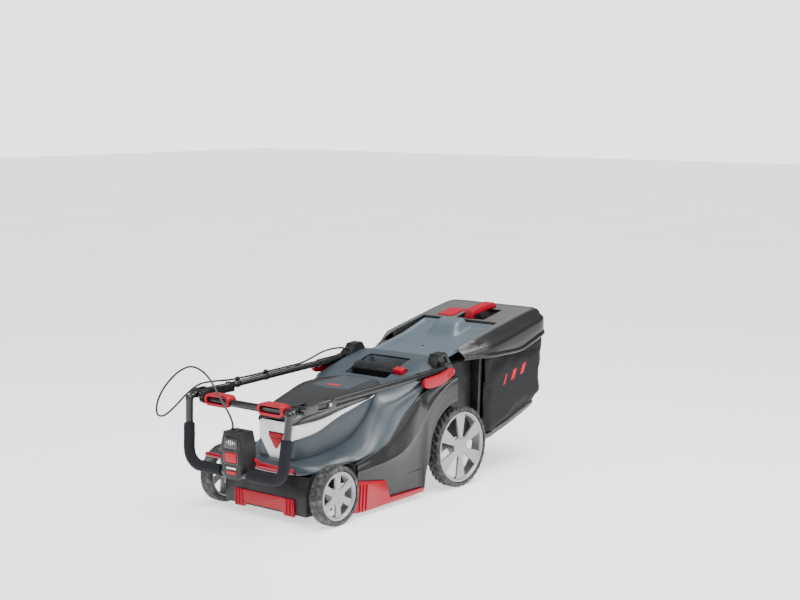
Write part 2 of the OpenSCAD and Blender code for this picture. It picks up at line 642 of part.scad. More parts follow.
module box_base() color("#505355") in_frame() {
  difference() {
    intersection() {
      side_profile(-box_half, box_half, [[box_front + 14, 105], [718, 110.4], [718, 124],
        [box_front + 14, 119]]);
      box_cross(600, 1100, 0);
    }
    side_profile(-168, 168, [[box_front, 108], [716, 114], [716, 140], [box_front, 140]]);
  }
}
module box_frame() color("#2a2c2e") in_frame() difference() {
  translate([0, box_front + 13.6, 0]) rotate([90, 0, 0]) linear_extrude(13)
    polygon([[-166, 105], [166, 105], [176, 345], [176, 350], [-176, 350], [-176, 345]]);
  translate([-136, box_front - 10, 134]) cube([272, 40, 198]);
}
module box_handle() color("#d81f35") in_frame() {
  side_profile(17, 43, [[800, 452], [806, 449], [896, 466], [912, 462], [913, 474], [898, 484],
    [806, 467], [800, 462]]);
  side_profile(19, 41, [[797, 436], [800.4, 436], [808, 452], [800, 456]]);
  side_profile(19, 41, [[900, 457.4], [912, 459.9], [911, 468], [900, 470]]);
}
module level_flap() color("#d81f35") in_frame() {
  side_profile(-92, -36, [[802, 437], [804, 436], [868, 449.6], [868, 453], [804, 440.4]]);
}

// ---- lower handle ----
drop = (pivot_z - joint_z) / lower_l;
function tube_z(y) = pivot_z - (pivot_y - y) * drop;
sleeve_front = 362;
joint_rear = 15;
module lower_tube() {
  difference() {
    union() {
      rod([tube_x, sleeve_front + 2, tube_z(sleeve_front + 2)],
        [tube_x, joint_rear - 86, tube_z(joint_rear - 86)], tube_r);
      rod([tube_x, pivot_y, tube_z(pivot_y)], [tube_x, sleeve_front, tube_z(sleeve_front)],
        tube_r + 2.5);
      rod_x_axis(tube_x - 11, tube_x + 11, pivot_y, pivot_z, 15);
    }
    rod_x_axis(tube_x - 30, tube_x + 30, pivot_y, pivot_z, pivot_pin_r + run_gap);
  }
}
module lower_tube_right() color("#1f2122") in_frame() lower_tube();
module lower_tube_left() color("#1f2122") in_frame() mirror([1, 0, 0]) lower_tube();

bar_y = joint_y - 3;
bar_z = joint_z - 10;
module cross_bar() color("#1f2122") in_frame() rod_x_axis(-joint_x + 19, joint_x - 19, bar_y, bar_z, bar_r);

knob_pin_r = 5;
module handle_joints() color("#17191a") in_frame() both_sides() difference() {
  union() {
    // clamp shells round the tube end, with two screw heads
    translate([joint_x - 12, joint_y + 20, joint_z - 11]) cube([24, 103, 25]);
    // inner and outer cheeks of the fork
    flat_link(joint_x - 19, joint_x - 9, [joint_y, joint_z], [joint_y + 34, joint_z + 1], 12);
    flat_link(joint_x + 9, joint_x + 17, [joint_y, joint_z], [joint_y + 34, joint_z + 1], 12);
    rod_x_axis(joint_x - 19, joint_x + 22, joint_y, joint_z, knob_pin_r);
    rod_x_axis(joint_x + 16, joint_x + 24, joint_y, joint_z, 10.5);
    // socket of the cross bar
    rod_x_axis(joint_x - 30, joint_x - 19, bar_y, bar_z, bar_r + 3);
    for (y = [joint_y + 45, joint_y + 100]) rod_x_axis(joint_x + 11, joint_x + 14, y, joint_z + 2, 6);
  }
  rod([joint_x, joint_rear + 10, tube_z(joint_rear + 10)],
    [joint_x, joint_rear - 88, tube_z(joint_rear - 88)], tube_r + 0.02);
  rod_x_axis(-joint_x + 19, joint_x - 19, bar_y, bar_z, bar_r + 0.02);
}
// the cable lies loose in its clips, above the tube
clip_hole = cable_r + 1.5;
clip_rise = tube_r + clip_hole + 0.4;
module cable_clips() color("#17191a") in_frame() for (y = [40, 150])
  translate([-tube_x, y, tube_z(y)]) rotate([90 + atan(drop), 0, 0]) difference() {
    union() {
      cylinder(r = tube_r + 2, h = 8);
      translate([0, clip_rise, 0]) cylinder(r = clip_hole + 1.7, h = 8);
    }
    translate([0, 0, -1]) cylinder(r = tube_r + 0.02, h = 10);
    translate([0, clip_rise, -1]) cylinder(r = clip_hole, h = 10);
  }

lever_x = tube_x + 16;
module lever() {
  side_profile(lever_x, lever_x + 10, [[362, 308], [374, 302], [430, 306], [484, 319],
    [494, 332], [490, 350], [478, 352], [430, 337], [372, 334], [360, 326]]);
  translate([lever_x + 5, pivot_y, 324]) cylinder(r = 5, h = 30);
}
module lever_right() color("#d81f35") in_frame() lever();
module lever_left() color("#d81f35") in_frame() mirror([1, 0, 0]) lever();

ring_x = 97;
ring_half = 45;
module ring() difference() {
  union() {
    for (x = [-ring_half + 16, ring_half - 16]) translate([ring_x + x, bar_y + 14, bar_z + 3])
      rotate([90, 0, 0]) cylinder(r = 16, h = 30);
    translate([ring_x - ring_half + 16, bar_y - 16, bar_z - 13])
      cube([2 * ring_half - 32, 30, 32]);
  }
  for (x = [-ring_half + 16, ring_half - 16]) translate([ring_x + x, bar_y + 40, bar_z + 3])
    rotate([90, 0, 0]) cylinder(r = 9, h = 80);
  translate([ring_x - ring_half + 16, bar_y - 40, bar_z - 6])
    cube([2 * ring_half - 32, 80, 18]);
  rod_x_axis(0, 300, bar_y, bar_z, bar_r + 0.4);
}
module ring_right() color("#d81f35") in_frame() ring();
module ring_left() color("#d81f35") in_frame() mirror([1, 0, 0]) ring();

// ---- upper handle ----
leg_y = joint_y - 35;
bottom_y = leg_y - 12;
corner_r = 42;
leg_top = joint_z - 8;
leg_foot = grip_z + corner_r;
// point on a leg's centre line at height z; the legs spread and lean back upwards
function leg_point(z) = [grip_half, bottom_y, leg_foot] +
  (z - leg_foot) / (leg_top - leg_foot) * [joint_x - 3 - grip_half, leg_y - bottom_y, leg_top - leg_foot];
// the straight runs reach a little way into the corners, which are slightly slimmer
run_in = 3;
module u_tube(r, z_top) {
  rod_x_axis(-grip_half + corner_r - run_in, grip_half - corner_r + run_in, bottom_y, grip_z, r);
  both_sides() {
    translate([grip_half - corner_r, bottom_y, leg_foot]) rotate([90, 0, 0])
      rotate([0, 0, -90]) rotate_extrude(angle = 90) translate([corner_r, 0]) circle(r - 0.4);
    rod(leg_point(leg_foot - run_in), leg_point(z_top), r);
  }
}
foam_top = 247;
module upper_bar() color("#1f2122") in_frame() difference() {
  union() {
    u_tube(bar_r, leg_top);
    both_sides() {
      rod([joint_x - 3, leg_y, leg_top], [joint_x - 1, joint_y - 14, joint_z], bar_r - 2.5);
      translate([joint_x - 3, leg_y, leg_top]) sphere(r = bar_r + 1);
      rod_x_axis(joint_x - 8, joint_x + 8, joint_y, joint_z, 12);
      translate([joint_x - 8, joint_y - 20, joint_z - 8]) cube([16, 16, 16]);
    }
  }
  both_sides() rod_x_axis(joint_x - 30, joint_x + 30, joint_y, joint_z, knob_pin_r + run_gap);
}
module foam_grip() color("#303236") in_frame() difference() {
  u_tube(foam_r, foam_top);
  u_tube(bar_r + 0.02, foam_top + 20);
  translate([-48, bottom_y - 40, grip_z - 40]) cube([96, 80, 80]);
}

bail_pin = [bottom_y + 30, 172];
module switch_outline(d) polygon([[-21 + d, 122 + d], [21 - d, 122 + d], [34 - d, 140],
  [38 - d, 165], [38 - d, 215], [29 - d, 246 - d], [-29 + d, 246 - d], [-38 + d, 215],
  [-38 + d, 165], [-34 + d, 140]]);
box_back = bottom_y + 36;
module switch_housing() color("#26282a") in_frame() difference() {
  union() {
    translate([0, box_back, 0]) rotate([90, 0, 0]) linear_extrude(box_back - switch_front - 2)
      switch_outline(0);
    translate([0, box_back, 0]) rotate([90, 0, 0]) linear_extrude(box_back - switch_front)
      switch_outline(4);
    translate([-20, -145, 240]) cylinder(r = 6, h = 9.6);
    translate([8, -145, 240]) cylinder(r = 6, h = 9);
  }
  rod_x_axis(-60, 60, bottom_y, grip_z, bar_r + 0.02);
  translate([-20.5, switch_front - 5, 166.5]) cube([41, 16, 27]);
  rod_x_axis(-60, 60, bail_pin[0], bail_pin[1], 3 + run_gap);
}
module start_button() color("#e8283c") in_frame()
  translate([-20, switch_front - button_proud, 167]) cube([40, 10, 26]);

module start_bail() color("#d81f35") in_frame() {
  rod_x_axis(-44, 44, bail_pin[0], bail_pin[1], 3);
  both_sides() {
    flat_link(39, 45, bail_pin, [bail_pin[0] + 17, 156], 5);
    rod_x_axis(41, 156, bail_pin[0] + 17, 156, 6);
  }
}

// ---- cable ----
function tangent(p, i) = unit(p[min(i + 1, len(p) - 1)] - p[max(i - 1, 0)]);
function smooth_path(p, n) = concat([for (i = [0:len(p) - 2]) for (k = [0:n - 1])
  let (a = p[max(i - 1, 0)], b = p[i], c = p[i + 1], d = p[min(i + 2, len(p) - 1)], t = k / n)
  0.5 * (2 * b + (c - a) * t + (2 * a - 5 * b + 4 * c - d) * t * t +
    (3 * b - a - 3 * c + d) * t * t * t)], [p[len(p) - 1]]);
function frame_side(t) = unit(cross(t, abs(t[2]) > 0.9 ? [0, 1, 0] : [0, 0, 1]));
function carried(s, t) = unit(s - (s * t) * t);
function sides(t, i, s) = i == len(t) ? [] : let (c = carried(s, t[i])) concat([c], sides(t, i + 1, c));
// tube along the points; joined_end is 0 or 1 for the end that meets the other length
module cord(points, n, r, joined_end) {
  path = smooth_path(points, n);
  last = len(path) - 1;
  headings = [for (i = [0:last]) i == joined_end * last ? unit(CORD_JOIN) : tangent(path, i)];
  side = sides(headings, 0, frame_side(headings[0]));
  loft([for (i = [0:last]) let (u = side[i], v = cross(headings[i], u))
    [for (a = [0:45:315]) path[i] + r * (cos(a) * u - sin(a) * v)]]);
}
module cord_run() color("#2a2b2c") in_frame() cord(CORD_RUN, 2, cable_r, 1);
module cord_loop() color("#2a2b2c") in_frame() cord(CORD_LOOP, 3, cable_r, 0);

deck();
hood();
motor_cover();
white_trim();
front_comb();
side_comb_left();
side_comb_right();
trim_strip();
carry_handle();
battery_tray();
battery_pack();
controller();
motor_housing();
handle_brackets();
housing_screws();
cable_gland();
battery_lid();
lid_latch();
safety_key();
height_button();
front_axle();
rear_axle();
height_link();
front_tyre_left();
front_tyre_right();
rear_tyre_left();
rear_tyre_right();
front_disc_left();
front_disc_right();
rear_disc_left();
rear_disc_right();
motor_shaft();
cooling_fan();
blade_carrier();
blade();
blade_bolt();
rear_flap();
box_top();
box_frame();
box_bag();
box_base();
box_handle();
level_flap();
lower_tube_left();
lower_tube_right();
cross_bar();
handle_joints();
cable_clips();
lever_left();
lever_right();
ring_left();
ring_right();
upper_bar();
foam_grip();
switch_housing();
start_button();
start_bail();
cord_run();
cord_loop();
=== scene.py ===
# %% [markdown]
# # A battery lawn mower, folded for storage
# A push mower is mostly moulded plastic shells around a steel deck gear, a folded steel tube
# handle and a cloth grass box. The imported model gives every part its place. This lesson keeps that
# frame, replaces the plain shells by smoother ones, and gives each surface its own finish.

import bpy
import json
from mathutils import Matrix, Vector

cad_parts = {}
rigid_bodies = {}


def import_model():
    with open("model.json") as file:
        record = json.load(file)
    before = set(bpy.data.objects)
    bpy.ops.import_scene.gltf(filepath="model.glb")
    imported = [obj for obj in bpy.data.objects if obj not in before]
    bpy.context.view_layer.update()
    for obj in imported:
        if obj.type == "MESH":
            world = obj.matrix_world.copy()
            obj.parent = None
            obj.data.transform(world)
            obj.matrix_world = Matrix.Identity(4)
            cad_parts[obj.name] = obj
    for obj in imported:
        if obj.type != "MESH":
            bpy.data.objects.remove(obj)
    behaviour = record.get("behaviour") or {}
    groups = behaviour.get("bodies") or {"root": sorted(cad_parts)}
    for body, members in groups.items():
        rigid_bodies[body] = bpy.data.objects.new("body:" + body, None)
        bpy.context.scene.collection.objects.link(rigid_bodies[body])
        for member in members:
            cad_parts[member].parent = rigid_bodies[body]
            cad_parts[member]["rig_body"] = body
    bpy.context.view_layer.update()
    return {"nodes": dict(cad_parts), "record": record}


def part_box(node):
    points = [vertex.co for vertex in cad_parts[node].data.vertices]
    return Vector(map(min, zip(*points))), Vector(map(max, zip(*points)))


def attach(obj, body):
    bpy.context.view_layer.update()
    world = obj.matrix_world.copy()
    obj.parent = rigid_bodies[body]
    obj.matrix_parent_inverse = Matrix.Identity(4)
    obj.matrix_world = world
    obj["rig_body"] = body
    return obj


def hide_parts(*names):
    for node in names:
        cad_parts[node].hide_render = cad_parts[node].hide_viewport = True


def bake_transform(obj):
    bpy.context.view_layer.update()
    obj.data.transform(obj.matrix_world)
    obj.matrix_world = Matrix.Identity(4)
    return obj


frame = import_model()

import json
import math

import bpy
from mathutils import Vector

nodes = frame["nodes"]

# %% [markdown]
# Every size below is written in millimetres from the front wheel centre, because that is how the
# drawings of such a machine are made. One helper turns them into metres in the shared frame, and
# reads the front wheel's place from the model, so nothing is typed twice.

# %% Millimetres from the front axle
MM = 0.001
wheel_low, wheel_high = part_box("front_tyre_right")
axle_y = (wheel_low.y + wheel_high.y) / 2


def at(x, y, z):
    """A point given in millimetres from the front axle, as metres in the frame."""
    return Vector((x * MM, axle_y + y * MM, z * MM))


print("front axle at", round(axle_y, 4))

# %% [markdown]
# The camera comes first: a long lens from the front right and a little above, as a catalogue shows
# a machine, so that parallel edges stay nearly parallel.

# %% Camera
camera_data = bpy.data.cameras.new("studio_camera")
camera_data.lens = 70.98
camera_data.sensor_width = 36
camera = bpy.data.objects.new("studio_camera", camera_data)
bpy.context.scene.collection.objects.link(camera)
camera.location = (2.84607, -3.35192, 1.10354)
camera.rotation_euler = Vector((-0.62978, 0.76591, -0.12945)).to_track_quat("-Z", "Y").to_euler()
bpy.context.scene.camera = camera
print("camera looks along", camera.rotation_euler)

# %% [markdown]
# Shader maths reads best as ordinary sums. `Maths` wraps one number socket, and its operators add
# Math nodes. `Finish` holds one material: its `add` method makes any other node from its type, its
# settings and the values or links of its sockets.

# %% A socket that can be used in sums


class Maths:
    """One number in a shader tree; + - and * on it add Math nodes."""

    def __init__(self, tree, socket):
        self.tree, self.socket = tree, socket

    def joined(self, operation, first, second):
        node = self.tree.nodes.new("ShaderNodeMath")
        node.operation = operation
        for socket, value in zip(node.inputs, (first, second)):
            if isinstance(value, Maths):
                self.tree.links.new(value.socket, socket)
            else:
                socket.default_value = value
        return Maths(self.tree, node.outputs[0])

    def __add__(self, other):
        return self.joined("ADD", self, other)

    def __sub__(self, other):
        return self.joined("SUBTRACT", self, other)

    def __rsub__(self, other):
        return self.joined("SUBTRACT", other, self)

    def __mul__(self, other):
        return self.joined("MULTIPLY", self, other)

    def under(self, other):
        return self.joined("MINIMUM", self, other)

    def over(self, other):
        return self.joined("MAXIMUM", self, other)

    def above(self, other):
        return self.joined("GREATER_THAN", self, other)

    def size(self):
        return self.joined("ABSOLUTE", self, 0.0)

    def below(self, other):
        return self.joined("LESS_THAN", self, other)

    def wave(self):
        return self.joined("SINE", self, 0.0)


print("sums of sockets ready")

# %% [markdown]
# A material starts from the Principled shader, with its constants set on the shader's own sockets.
# What varies over the surface is a noise or a coordinate, made by `add` and joined by sums.

# %% A material and its nodes


class Finish:
    """A material with its shader, and add() for any other node."""

    def __init__(self, name, colour, roughness, **constants):
        self.material = bpy.data.materials.new(name)
        self.material.use_nodes = True
        self.tree = self.material.node_tree
        self.shader = self.tree.nodes["Principled BSDF"]
        self.colour = tuple(colour) + (1.0,)
        self.place = self.add("TexCoord", output="Object")
        self.shader.inputs["Base Color"].default_value = self.colour
        self.shader.inputs["Roughness"].default_value = roughness
        for key, value in constants.items():
            self.shader.inputs[key.replace("_", " ")].default_value = value

    def add(self, kind, settings=None, output=0, **inputs):
        """Any other node; inputs go by socket name, or by _ and the socket's number."""
        node = self.tree.nodes.new("ShaderNode" + kind)
        for key, value in (settings or {}).items():
            setattr(node, key, value)
        for key, value in inputs.items():
            numbered = key[1:].isdigit()
            self.feed(node.inputs[int(key[1:]) if numbered else key.replace("_", " ")], value)
        return Maths(self.tree, node.outputs[output])

    def feed(self, socket, value):
        if isinstance(value, Maths):
            self.tree.links.new(value.socket, socket)
        else:
            socket.default_value = value

    def set(self, **links):
        for key, value in links.items():
            self.feed(self.shader.inputs[key.replace("_", " ")], value)

    def noise(self, scale, detail=2.0, vector=None):
        """Soft noise from 0 to 1; scale is in bumps per metre."""
        return self.add("TexNoise", Vector=vector or self.place, Scale=scale, Detail=detail)

    def part(self, axis):
        """One coordinate of the object's own space, in metres: 0 across, 1 along, 2 up."""
        return self.add("SeparateXYZ", output=axis, Vector=self.place)

    def blend(self, factor, low, high):
        """A colour that goes from low to high with a factor."""
        return self.add("Mix", {"data_type": "RGBA"}, 2, _0=factor, _6=low, _7=high)

    def bump(self, height, strength, distance):
        self.set(Normal=self.add("Bump", Height=height, Strength=strength, Distance=distance))


def shade(colour, factor):
    """A colour made lighter or darker, with its alpha."""
    return tuple(min(1.0, channel * factor) for channel in colour[:3]) + (1.0,)


print("shader helpers ready")

# %% [markdown]
# Injection moulded plastic has three things a flat colour lacks: a fine grain from the mould,
# patches that are a little glossier, and dust in the lower and flatter places. One function makes
# all of it, and each part of the mower asks for it with its own colour, gloss and grain.

# %% Moulded plastic
dust_colour = (0.42, 0.41, 0.38, 1.0)


def moulded(name, colour, roughness, depth=0.00001, dust=0.04, coat=0.0, specular=0.5):
    f = Finish(name, colour, roughness, Coat_Weight=coat, Coat_Roughness=0.2,
               Specular_IOR_Level=specular)
    patches = f.noise(9, 4)
    fine = f.noise(900, 2)
    cloud = f.noise(38, 5)
    dusty = ((cloud - 0.45).over(0.0) * dust * 2.4).under(1.0)
    tone = f.blend(patches, shade(colour, 0.86), shade(colour, 1.16))
    f.set(Base_Color=f.blend(dusty, tone, dust_colour))
    f.set(Roughness=patches * 0.16 + dusty * 0.5 + (roughness - 0.08))
    f.bump(fine + cloud * 3.0, 0.4, depth)
    return f.material


black_plastic = moulded("black_moulding", (0.0075, 0.0077, 0.0082), 0.42, specular=0.3)
side_black = moulded("side_moulding", (0.007, 0.0072, 0.0076), 0.3, dust=0.02, specular=0.42)
slate_plastic = moulded("slate_moulding", (0.032, 0.045, 0.056), 0.36, dust=0.02, coat=0.12)
light_slate = moulded("light_slate_moulding", (0.07, 0.095, 0.115), 0.38, dust=0.03)
white_gloss = moulded("white_gloss", (0.86, 0.86, 0.85), 0.25, 0.000004, 0.0, coat=0.3)
red_plastic = moulded("red_moulding", (0.33, 0.0, 0.012), 0.34, dust=0.0, specular=0.3)
lid_gloss = moulded("lid_gloss", (0.009, 0.0092, 0.01), 0.26, 0.000004, dust=0.01, coat=0.15)
box_plastic = moulded("box_moulding", (0.009, 0.009, 0.0095), 0.42, specular=0.35)
gloss_black = moulded("gloss_black", (0.006, 0.006, 0.0062), 0.22, 0.000003, 0.0, specular=0.6)
switch_plastic = moulded("switch_moulding", (0.012, 0.0125, 0.013), 0.44, specular=0.3)
base_plastic = moulded("box_base_moulding", (0.055, 0.057, 0.06), 0.5, dust=0.1)
battery_shell = moulded("battery_shell", (0.04, 0.04, 0.045), 0.45)
bright_red = moulded("bright_red", (0.42, 0.0, 0.014), 0.32, 0.000004, 0.0, specular=0.3)
faded_red = moulded("faded_red", (0.30, 0.02, 0.035), 0.3, 0.000004, 0.0)
mark_white = moulded("mark_white", (0.7, 0.71, 0.72), 0.4, 0.000004, 0.0)
print("moulded plastics made")

# %% [markdown]
# The handle is steel tube under a thin, even powder coat, which shows a very fine orange peel.
# Turned and pressed steel inside the machine is bare and brushed along one way, and the wheel
# discs are plastic with silver paint, which sparkles slightly and is never mirror bright.

# %% Metals and paint


def powder_coat():
    f = Finish("powder_coat", (0.008, 0.008, 0.0085), 0.3, Specular_IOR_Level=0.5)
    peel = f.noise(300, 1)
    wear = f.noise(12, 3)
    f.set(Base_Color=f.blend((wear - 0.6).over(0.0) * 0.3, f.colour, (0.03, 0.03, 0.031, 1)))
    f.set(Roughness=wear * 0.1 + 0.22)
    f.bump(peel, 0.1, 0.000003)
    return f.material


def brushed(name, colour, roughness, metallic=1.0, stretch=(900, 40, 40)):
    f = Finish(name, colour, roughness, Metallic=metallic)
    stretched = f.add("Mapping", Vector=f.place, Scale=stretch)
    lines = f.noise(1.0, 3, stretched)
    stain = f.noise(25, 5)
    f.set(Base_Color=f.blend(stain, shade(colour, 0.7), shade(colour, 1.2)))
    f.set(Roughness=lines * 0.25 + stain * 0.15 + (roughness - 0.2))
    f.bump(lines, 0.3, 0.00001)
    return f.material


def silver_paint():
    f = Finish("silver_paint", (0.3, 0.305, 0.31), 0.34, Metallic=0.4)
    flake = f.noise(2600, 1)
    haze = f.noise(30, 5)
    f.set(Base_Color=f.blend((haze - 0.5).over(0.0) * 1.2, f.blend(
        flake, shade(f.colour, 0.92), shade(f.colour, 1.1)), (0.36, 0.35, 0.33, 1)))
    f.set(Roughness=haze * 0.25 + 0.26)
    f.bump(flake, 0.2, 0.000006)
    return f.material


painted_tube = powder_coat()
steel = brushed("brushed_steel", (0.5, 0.51, 0.52), 0.4)
cast_metal = brushed("cast_metal", (0.18, 0.18, 0.19), 0.6, 0.8, (150, 150, 150))
wheel_silver = silver_paint()
print("metals made")

# %% [markdown]
# Tyre rubber, the foam grip and the cable jacket are all black and all different: the tyre is dull
# with grey dust in the tread, the foam is pitted with small cells, and the jacket is smooth.

# %% Rubber, foam, cable and board


def tyre_rubber(name="tyre_rubber", dust=1.5):
    f = Finish(name, (0.013, 0.013, 0.014), 0.72)
    smear = f.noise(70, 6)
    grit = f.noise(1800, 2)
    dusty = ((smear - 0.46).over(0.0) * dust).under(0.7)
    f.set(Base_Color=f.blend(dusty, f.colour, (0.17, 0.168, 0.16, 1)))
    f.set(Roughness=dusty * 0.3 + 0.6)
    f.bump(grit + smear * 4.0, 0.4, 0.00004)
    return f.material


def closed_cell_foam():
    f = Finish("closed_cell_foam", (0.0105, 0.0115, 0.0145), 0.85, Specular_IOR_Level=0.2)
    cells = f.add("TexVoronoi", Vector=f.place, Scale=1100.0)
    soft = f.noise(120, 3)
    f.set(Base_Color=f.blend(soft, shade(f.colour, 0.75), shade(f.colour, 1.35)))
    f.set(Roughness=soft * 0.2 + 0.72)
    f.bump(cells + soft * 3.0, 0.4, 0.00006)
    return f.material


def cable_jacket():
    f = Finish("cable_jacket", (0.012, 0.012, 0.013), 0.42)
    streak = f.noise(160, 4)
    f.set(Base_Color=f.blend(streak, shade(f.colour, 0.7), shade(f.colour, 1.6)))
    f.set(Roughness=streak * 0.25 + 0.3)
    f.bump(streak, 0.3, 0.00005)
    return f.material


def circuit_board():
    f = Finish("circuit_board", (0.012, 0.1, 0.04), 0.3)
    tracks = f.add("TexBrick", Vector=f.place, Scale=160.0, output="Fac", Mortar_Size=0.06)
    f.set(Base_Color=f.blend(tracks, f.colour, (0.05, 0.25, 0.08, 1)))
    f.set(Roughness=tracks * 0.2 + 0.25)
    f.bump(tracks, 0.3, 0.0001)
    return f.material


def bag_cloth():
    """Coated polyester: a fine weave, worn paler on folds, with three slanted red marks."""
    f = Finish("bag_cloth", (0.0075, 0.0077, 0.0088), 0.7, Specular_IOR_Level=0.25)
    across, along, up = f.part(0), f.part(1), f.part(2)
    weave = (along * 5200 + across * 5200).wave() * (up * 5200).wave()
    worn = f.noise(18, 5)
    tone = f.blend(worn, shade(f.colour, 0.7), shade(f.colour, 1.5))
    lean, rise, half_long, half_tall = 0.35, 0.25, 0.052, 0.014
    bars = ((along - up * lean) * 150).wave().above(0.35)
    centre_y, centre_z = axle_y + 0.815, 0.288
    window = ((along - centre_y - (up - centre_z) * lean).size().below(half_long)
              * (up - centre_z - (along - centre_y) * rise).size().below(half_tall))
    f.set(Base_Color=f.blend(bars * window, tone, (0.5, 0.006, 0.02, 1)))
    f.set(Roughness=worn * 0.2 + 0.62)
    f.bump(weave * 0.2 + worn, 0.45, 0.0006)
    return f.material


def faded_lid():
    """Black moulding that the sun has faded to grey over the flat crown."""
    f = Finish("faded_lid", (0.009, 0.009, 0.0095), 0.4, Specular_IOR_Level=0.4)
    across, along = f.part(0), f.part(1)
    crown_half, crown_rear = 0.163, axle_y + 0.958
    crown = ((crown_half - across.size()) * 90).over(0.0).under(1.0)
    crown = crown * ((crown_rear - along) * 60).over(0.0).under(1.0)
    patches = f.noise(14, 5)
    f.set(Base_Color=f.blend(crown, shade(f.colour, 0.9), f.blend(
        patches, (0.07, 0.07, 0.071, 1), (0.1, 0.1, 0.101, 1))))
    f.set(Roughness=crown * 0.2 + patches * 0.12 + 0.24)
    f.bump(f.noise(700, 2) + patches, 0.3, 0.00002)
    return f.material


faded_top = faded_lid()
tyre = tyre_rubber()
worn_tyre = tyre_rubber("worn_tyre", 2.4)
foam = closed_cell_foam()
cable = cable_jacket()
board = circuit_board()
bag_fabric = bag_cloth()
print("soft finishes made")

# %% [markdown]
# Each part that keeps its own mesh gets the finish of its slot. The model's record already says
# which slot every node belongs to, so one loop paints them all.

# %% Paint the parts that stay
FINISHES = {
    "black_plastic": black_plastic, "slate_plastic": slate_plastic, "light_slate": light_slate,
    "white_gloss": white_gloss, "red_plastic": red_plastic, "lid_gloss": lid_gloss,
    "box_plastic": box_plastic, "bag_fabric": bag_fabric, "gloss_black": gloss_black,
    "switch_plastic": switch_plastic, "battery_shell": battery_shell, "circuit_board": board,
    "steel": steel, "cast_metal": cast_metal, "wheel_silver": wheel_silver, "tyre": tyre,
    "foam": foam, "painted_tube": painted_tube, "cable": cable,
}
slot_of = {entry["node"]: entry["material_slot"] for entry in frame["record"]["subparts"]}
for name, node in nodes.items():
    node.data.materials.clear()
    node.data.materials.append(FINISHES[slot_of[name]])
print("painted", len(nodes), "nodes")

# %% [markdown]
# The machine stands on a plain pale floor under large, soft lights. A big lamp overhead gives the
# long highlight along the hood, and a second one from the right opens up the black side. The world
# behind is bright to look at but lights the machine only a little, so the blacks stay deep.

# %% Floor and lights
bpy.ops.mesh.primitive_plane_add(size=40)
floor = bpy.context.object
floor.name = "studio_floor"
floor_finish = Finish("studio_floor", (0.92, 0.92, 0.925), 0.32)
floor_haze = floor_finish.noise(1.3, 3)
floor_finish.set(Roughness=floor_haze * 0.2 + 0.24)
floor_finish.shader.inputs["Emission Color"].default_value = (0.9, 0.91, 0.93, 1)
floor_finish.shader.inputs["Emission Strength"].default_value = 1.1
floor.data.materials.append(floor_finish.material)

world = bpy.data.worlds.new("studio")
bpy.context.scene.world = world
world.use_nodes = True
background = world.node_tree.nodes["Background"]
background.inputs["Color"].default_value = (0.95, 0.96, 0.98, 1)
sight = world.node_tree.nodes.new("ShaderNodeLightPath")
brightness = world.node_tree.nodes.new("ShaderNodeMapRange")
brightness.inputs["To Min"].default_value = 0.38
brightness.inputs["To Max"].default_value = 2.8
world.node_tree.links.new(sight.outputs["Is Camera Ray"], brightness.inputs["Value"])
world.node_tree.links.new(brightness.outputs["Result"], background.inputs["Strength"])


def soft_light(name, place, target, size, watts):
    data = bpy.data.lights.new(name, "AREA")
    data.shape, data.size, data.energy = "SQUARE", size, watts
    lamp = bpy.data.objects.new(name, data)
    bpy.context.scene.collection.objects.link(lamp)
    lamp.location = place
    lamp.rotation_euler = (Vector(target) - Vector(place)).to_track_quat("-Z", "Y").to_euler()


soft_light("overhead", (0.5, 0.3, 2.6), (0, 0, 0.2), 1.5, 60)
soft_light("right_side", (3.2, 0.6, 1.5), (0, 0, 0.2), 1.2, 40)
soft_light("front_left", (-1.8, -3.2, 1.8), (0, 0, 0.2), 1.2, 35)
sun = bpy.data.lights.new("broad_sun", "SUN")
sun.energy, sun.angle = 3.4, 1.1
sun_lamp = bpy.data.objects.new("broad_sun", sun)
bpy.context.scene.collection.objects.link(sun_lamp)
sun_lamp.rotation_euler = Vector((-0.35, 0.25, -1)).to_track_quat("-Z", "Y").to_euler()
print("floor and lights placed")

# %% [markdown]
# ## Smooth lines
# Cables, shells and outlines all follow a few given points. One function rounds them off:
# it passes through every point, and its bends are shared out over the neighbours.

# %% A line through points


def spline(points, steps):
    """Points on a smooth line through the given ones, ends included."""
    points = [Vector(point) for point in points]
    line = []
    for i in range(len(points) - 1):
        a, b = points[max(i - 1, 0)], points[i]
        c, d = points[i + 1], points[min(i + 2, len(points) - 1)]
        for step in range(steps):
            t = step / steps
            line.append(0.5 * (2 * b + (c - a) * t + (2 * a - 5 * b + 4 * c - d) * t * t
                               + (3 * b - a - 3 * c + d) * t * t * t))
    return line + [points[-1]]


print("a line through 3 points has", len(spline([(0, 0, 0), (1, 0, 0), (1, 1, 0)], 4)), "points")

# %% [markdown]
# ## The control cable
# A thin cable runs from a gland beside the left pivot along the handle tube, leaves the upper
# joint in a free loop and drops into the switch box. It crosses two joints, so it is made as two
# lengths: one along the lower handle, and one in the loop from the upper joint.

# %% Cable
cable_radius = 2.8
RUN_POINTS = [
    (-163, 458, 366), (-165, 440, 372), (-172, 405, 372), (-179, 370, 366), (-184, 330, 353),
    (-184, 290, 345), (-184, 250, 343), (-184, 200, 341), (-184, 150, 339), (-184, 100, 337),
    (-184, 50, 336), (-184, 10, 336), (-188, -30, 338)]
LOOP_POINTS = [
    (-188, -30, 338), (-192, -56, 339), (-206, -86, 334), (-218, -120, 312), (-226, -160, 280),
    (-234, -188, 262), (-246, -200, 266), (-256, -192, 290), (-256, -174, 322), (-246, -152, 352),
    (-226, -134, 376), (-196, -124, 388), (-160, -122, 382), (-124, -126, 364), (-92, -132, 336),
    (-62, -138, 308), (-36, -142, 284), (-22, -144, 262), (-20, -145, 250)]


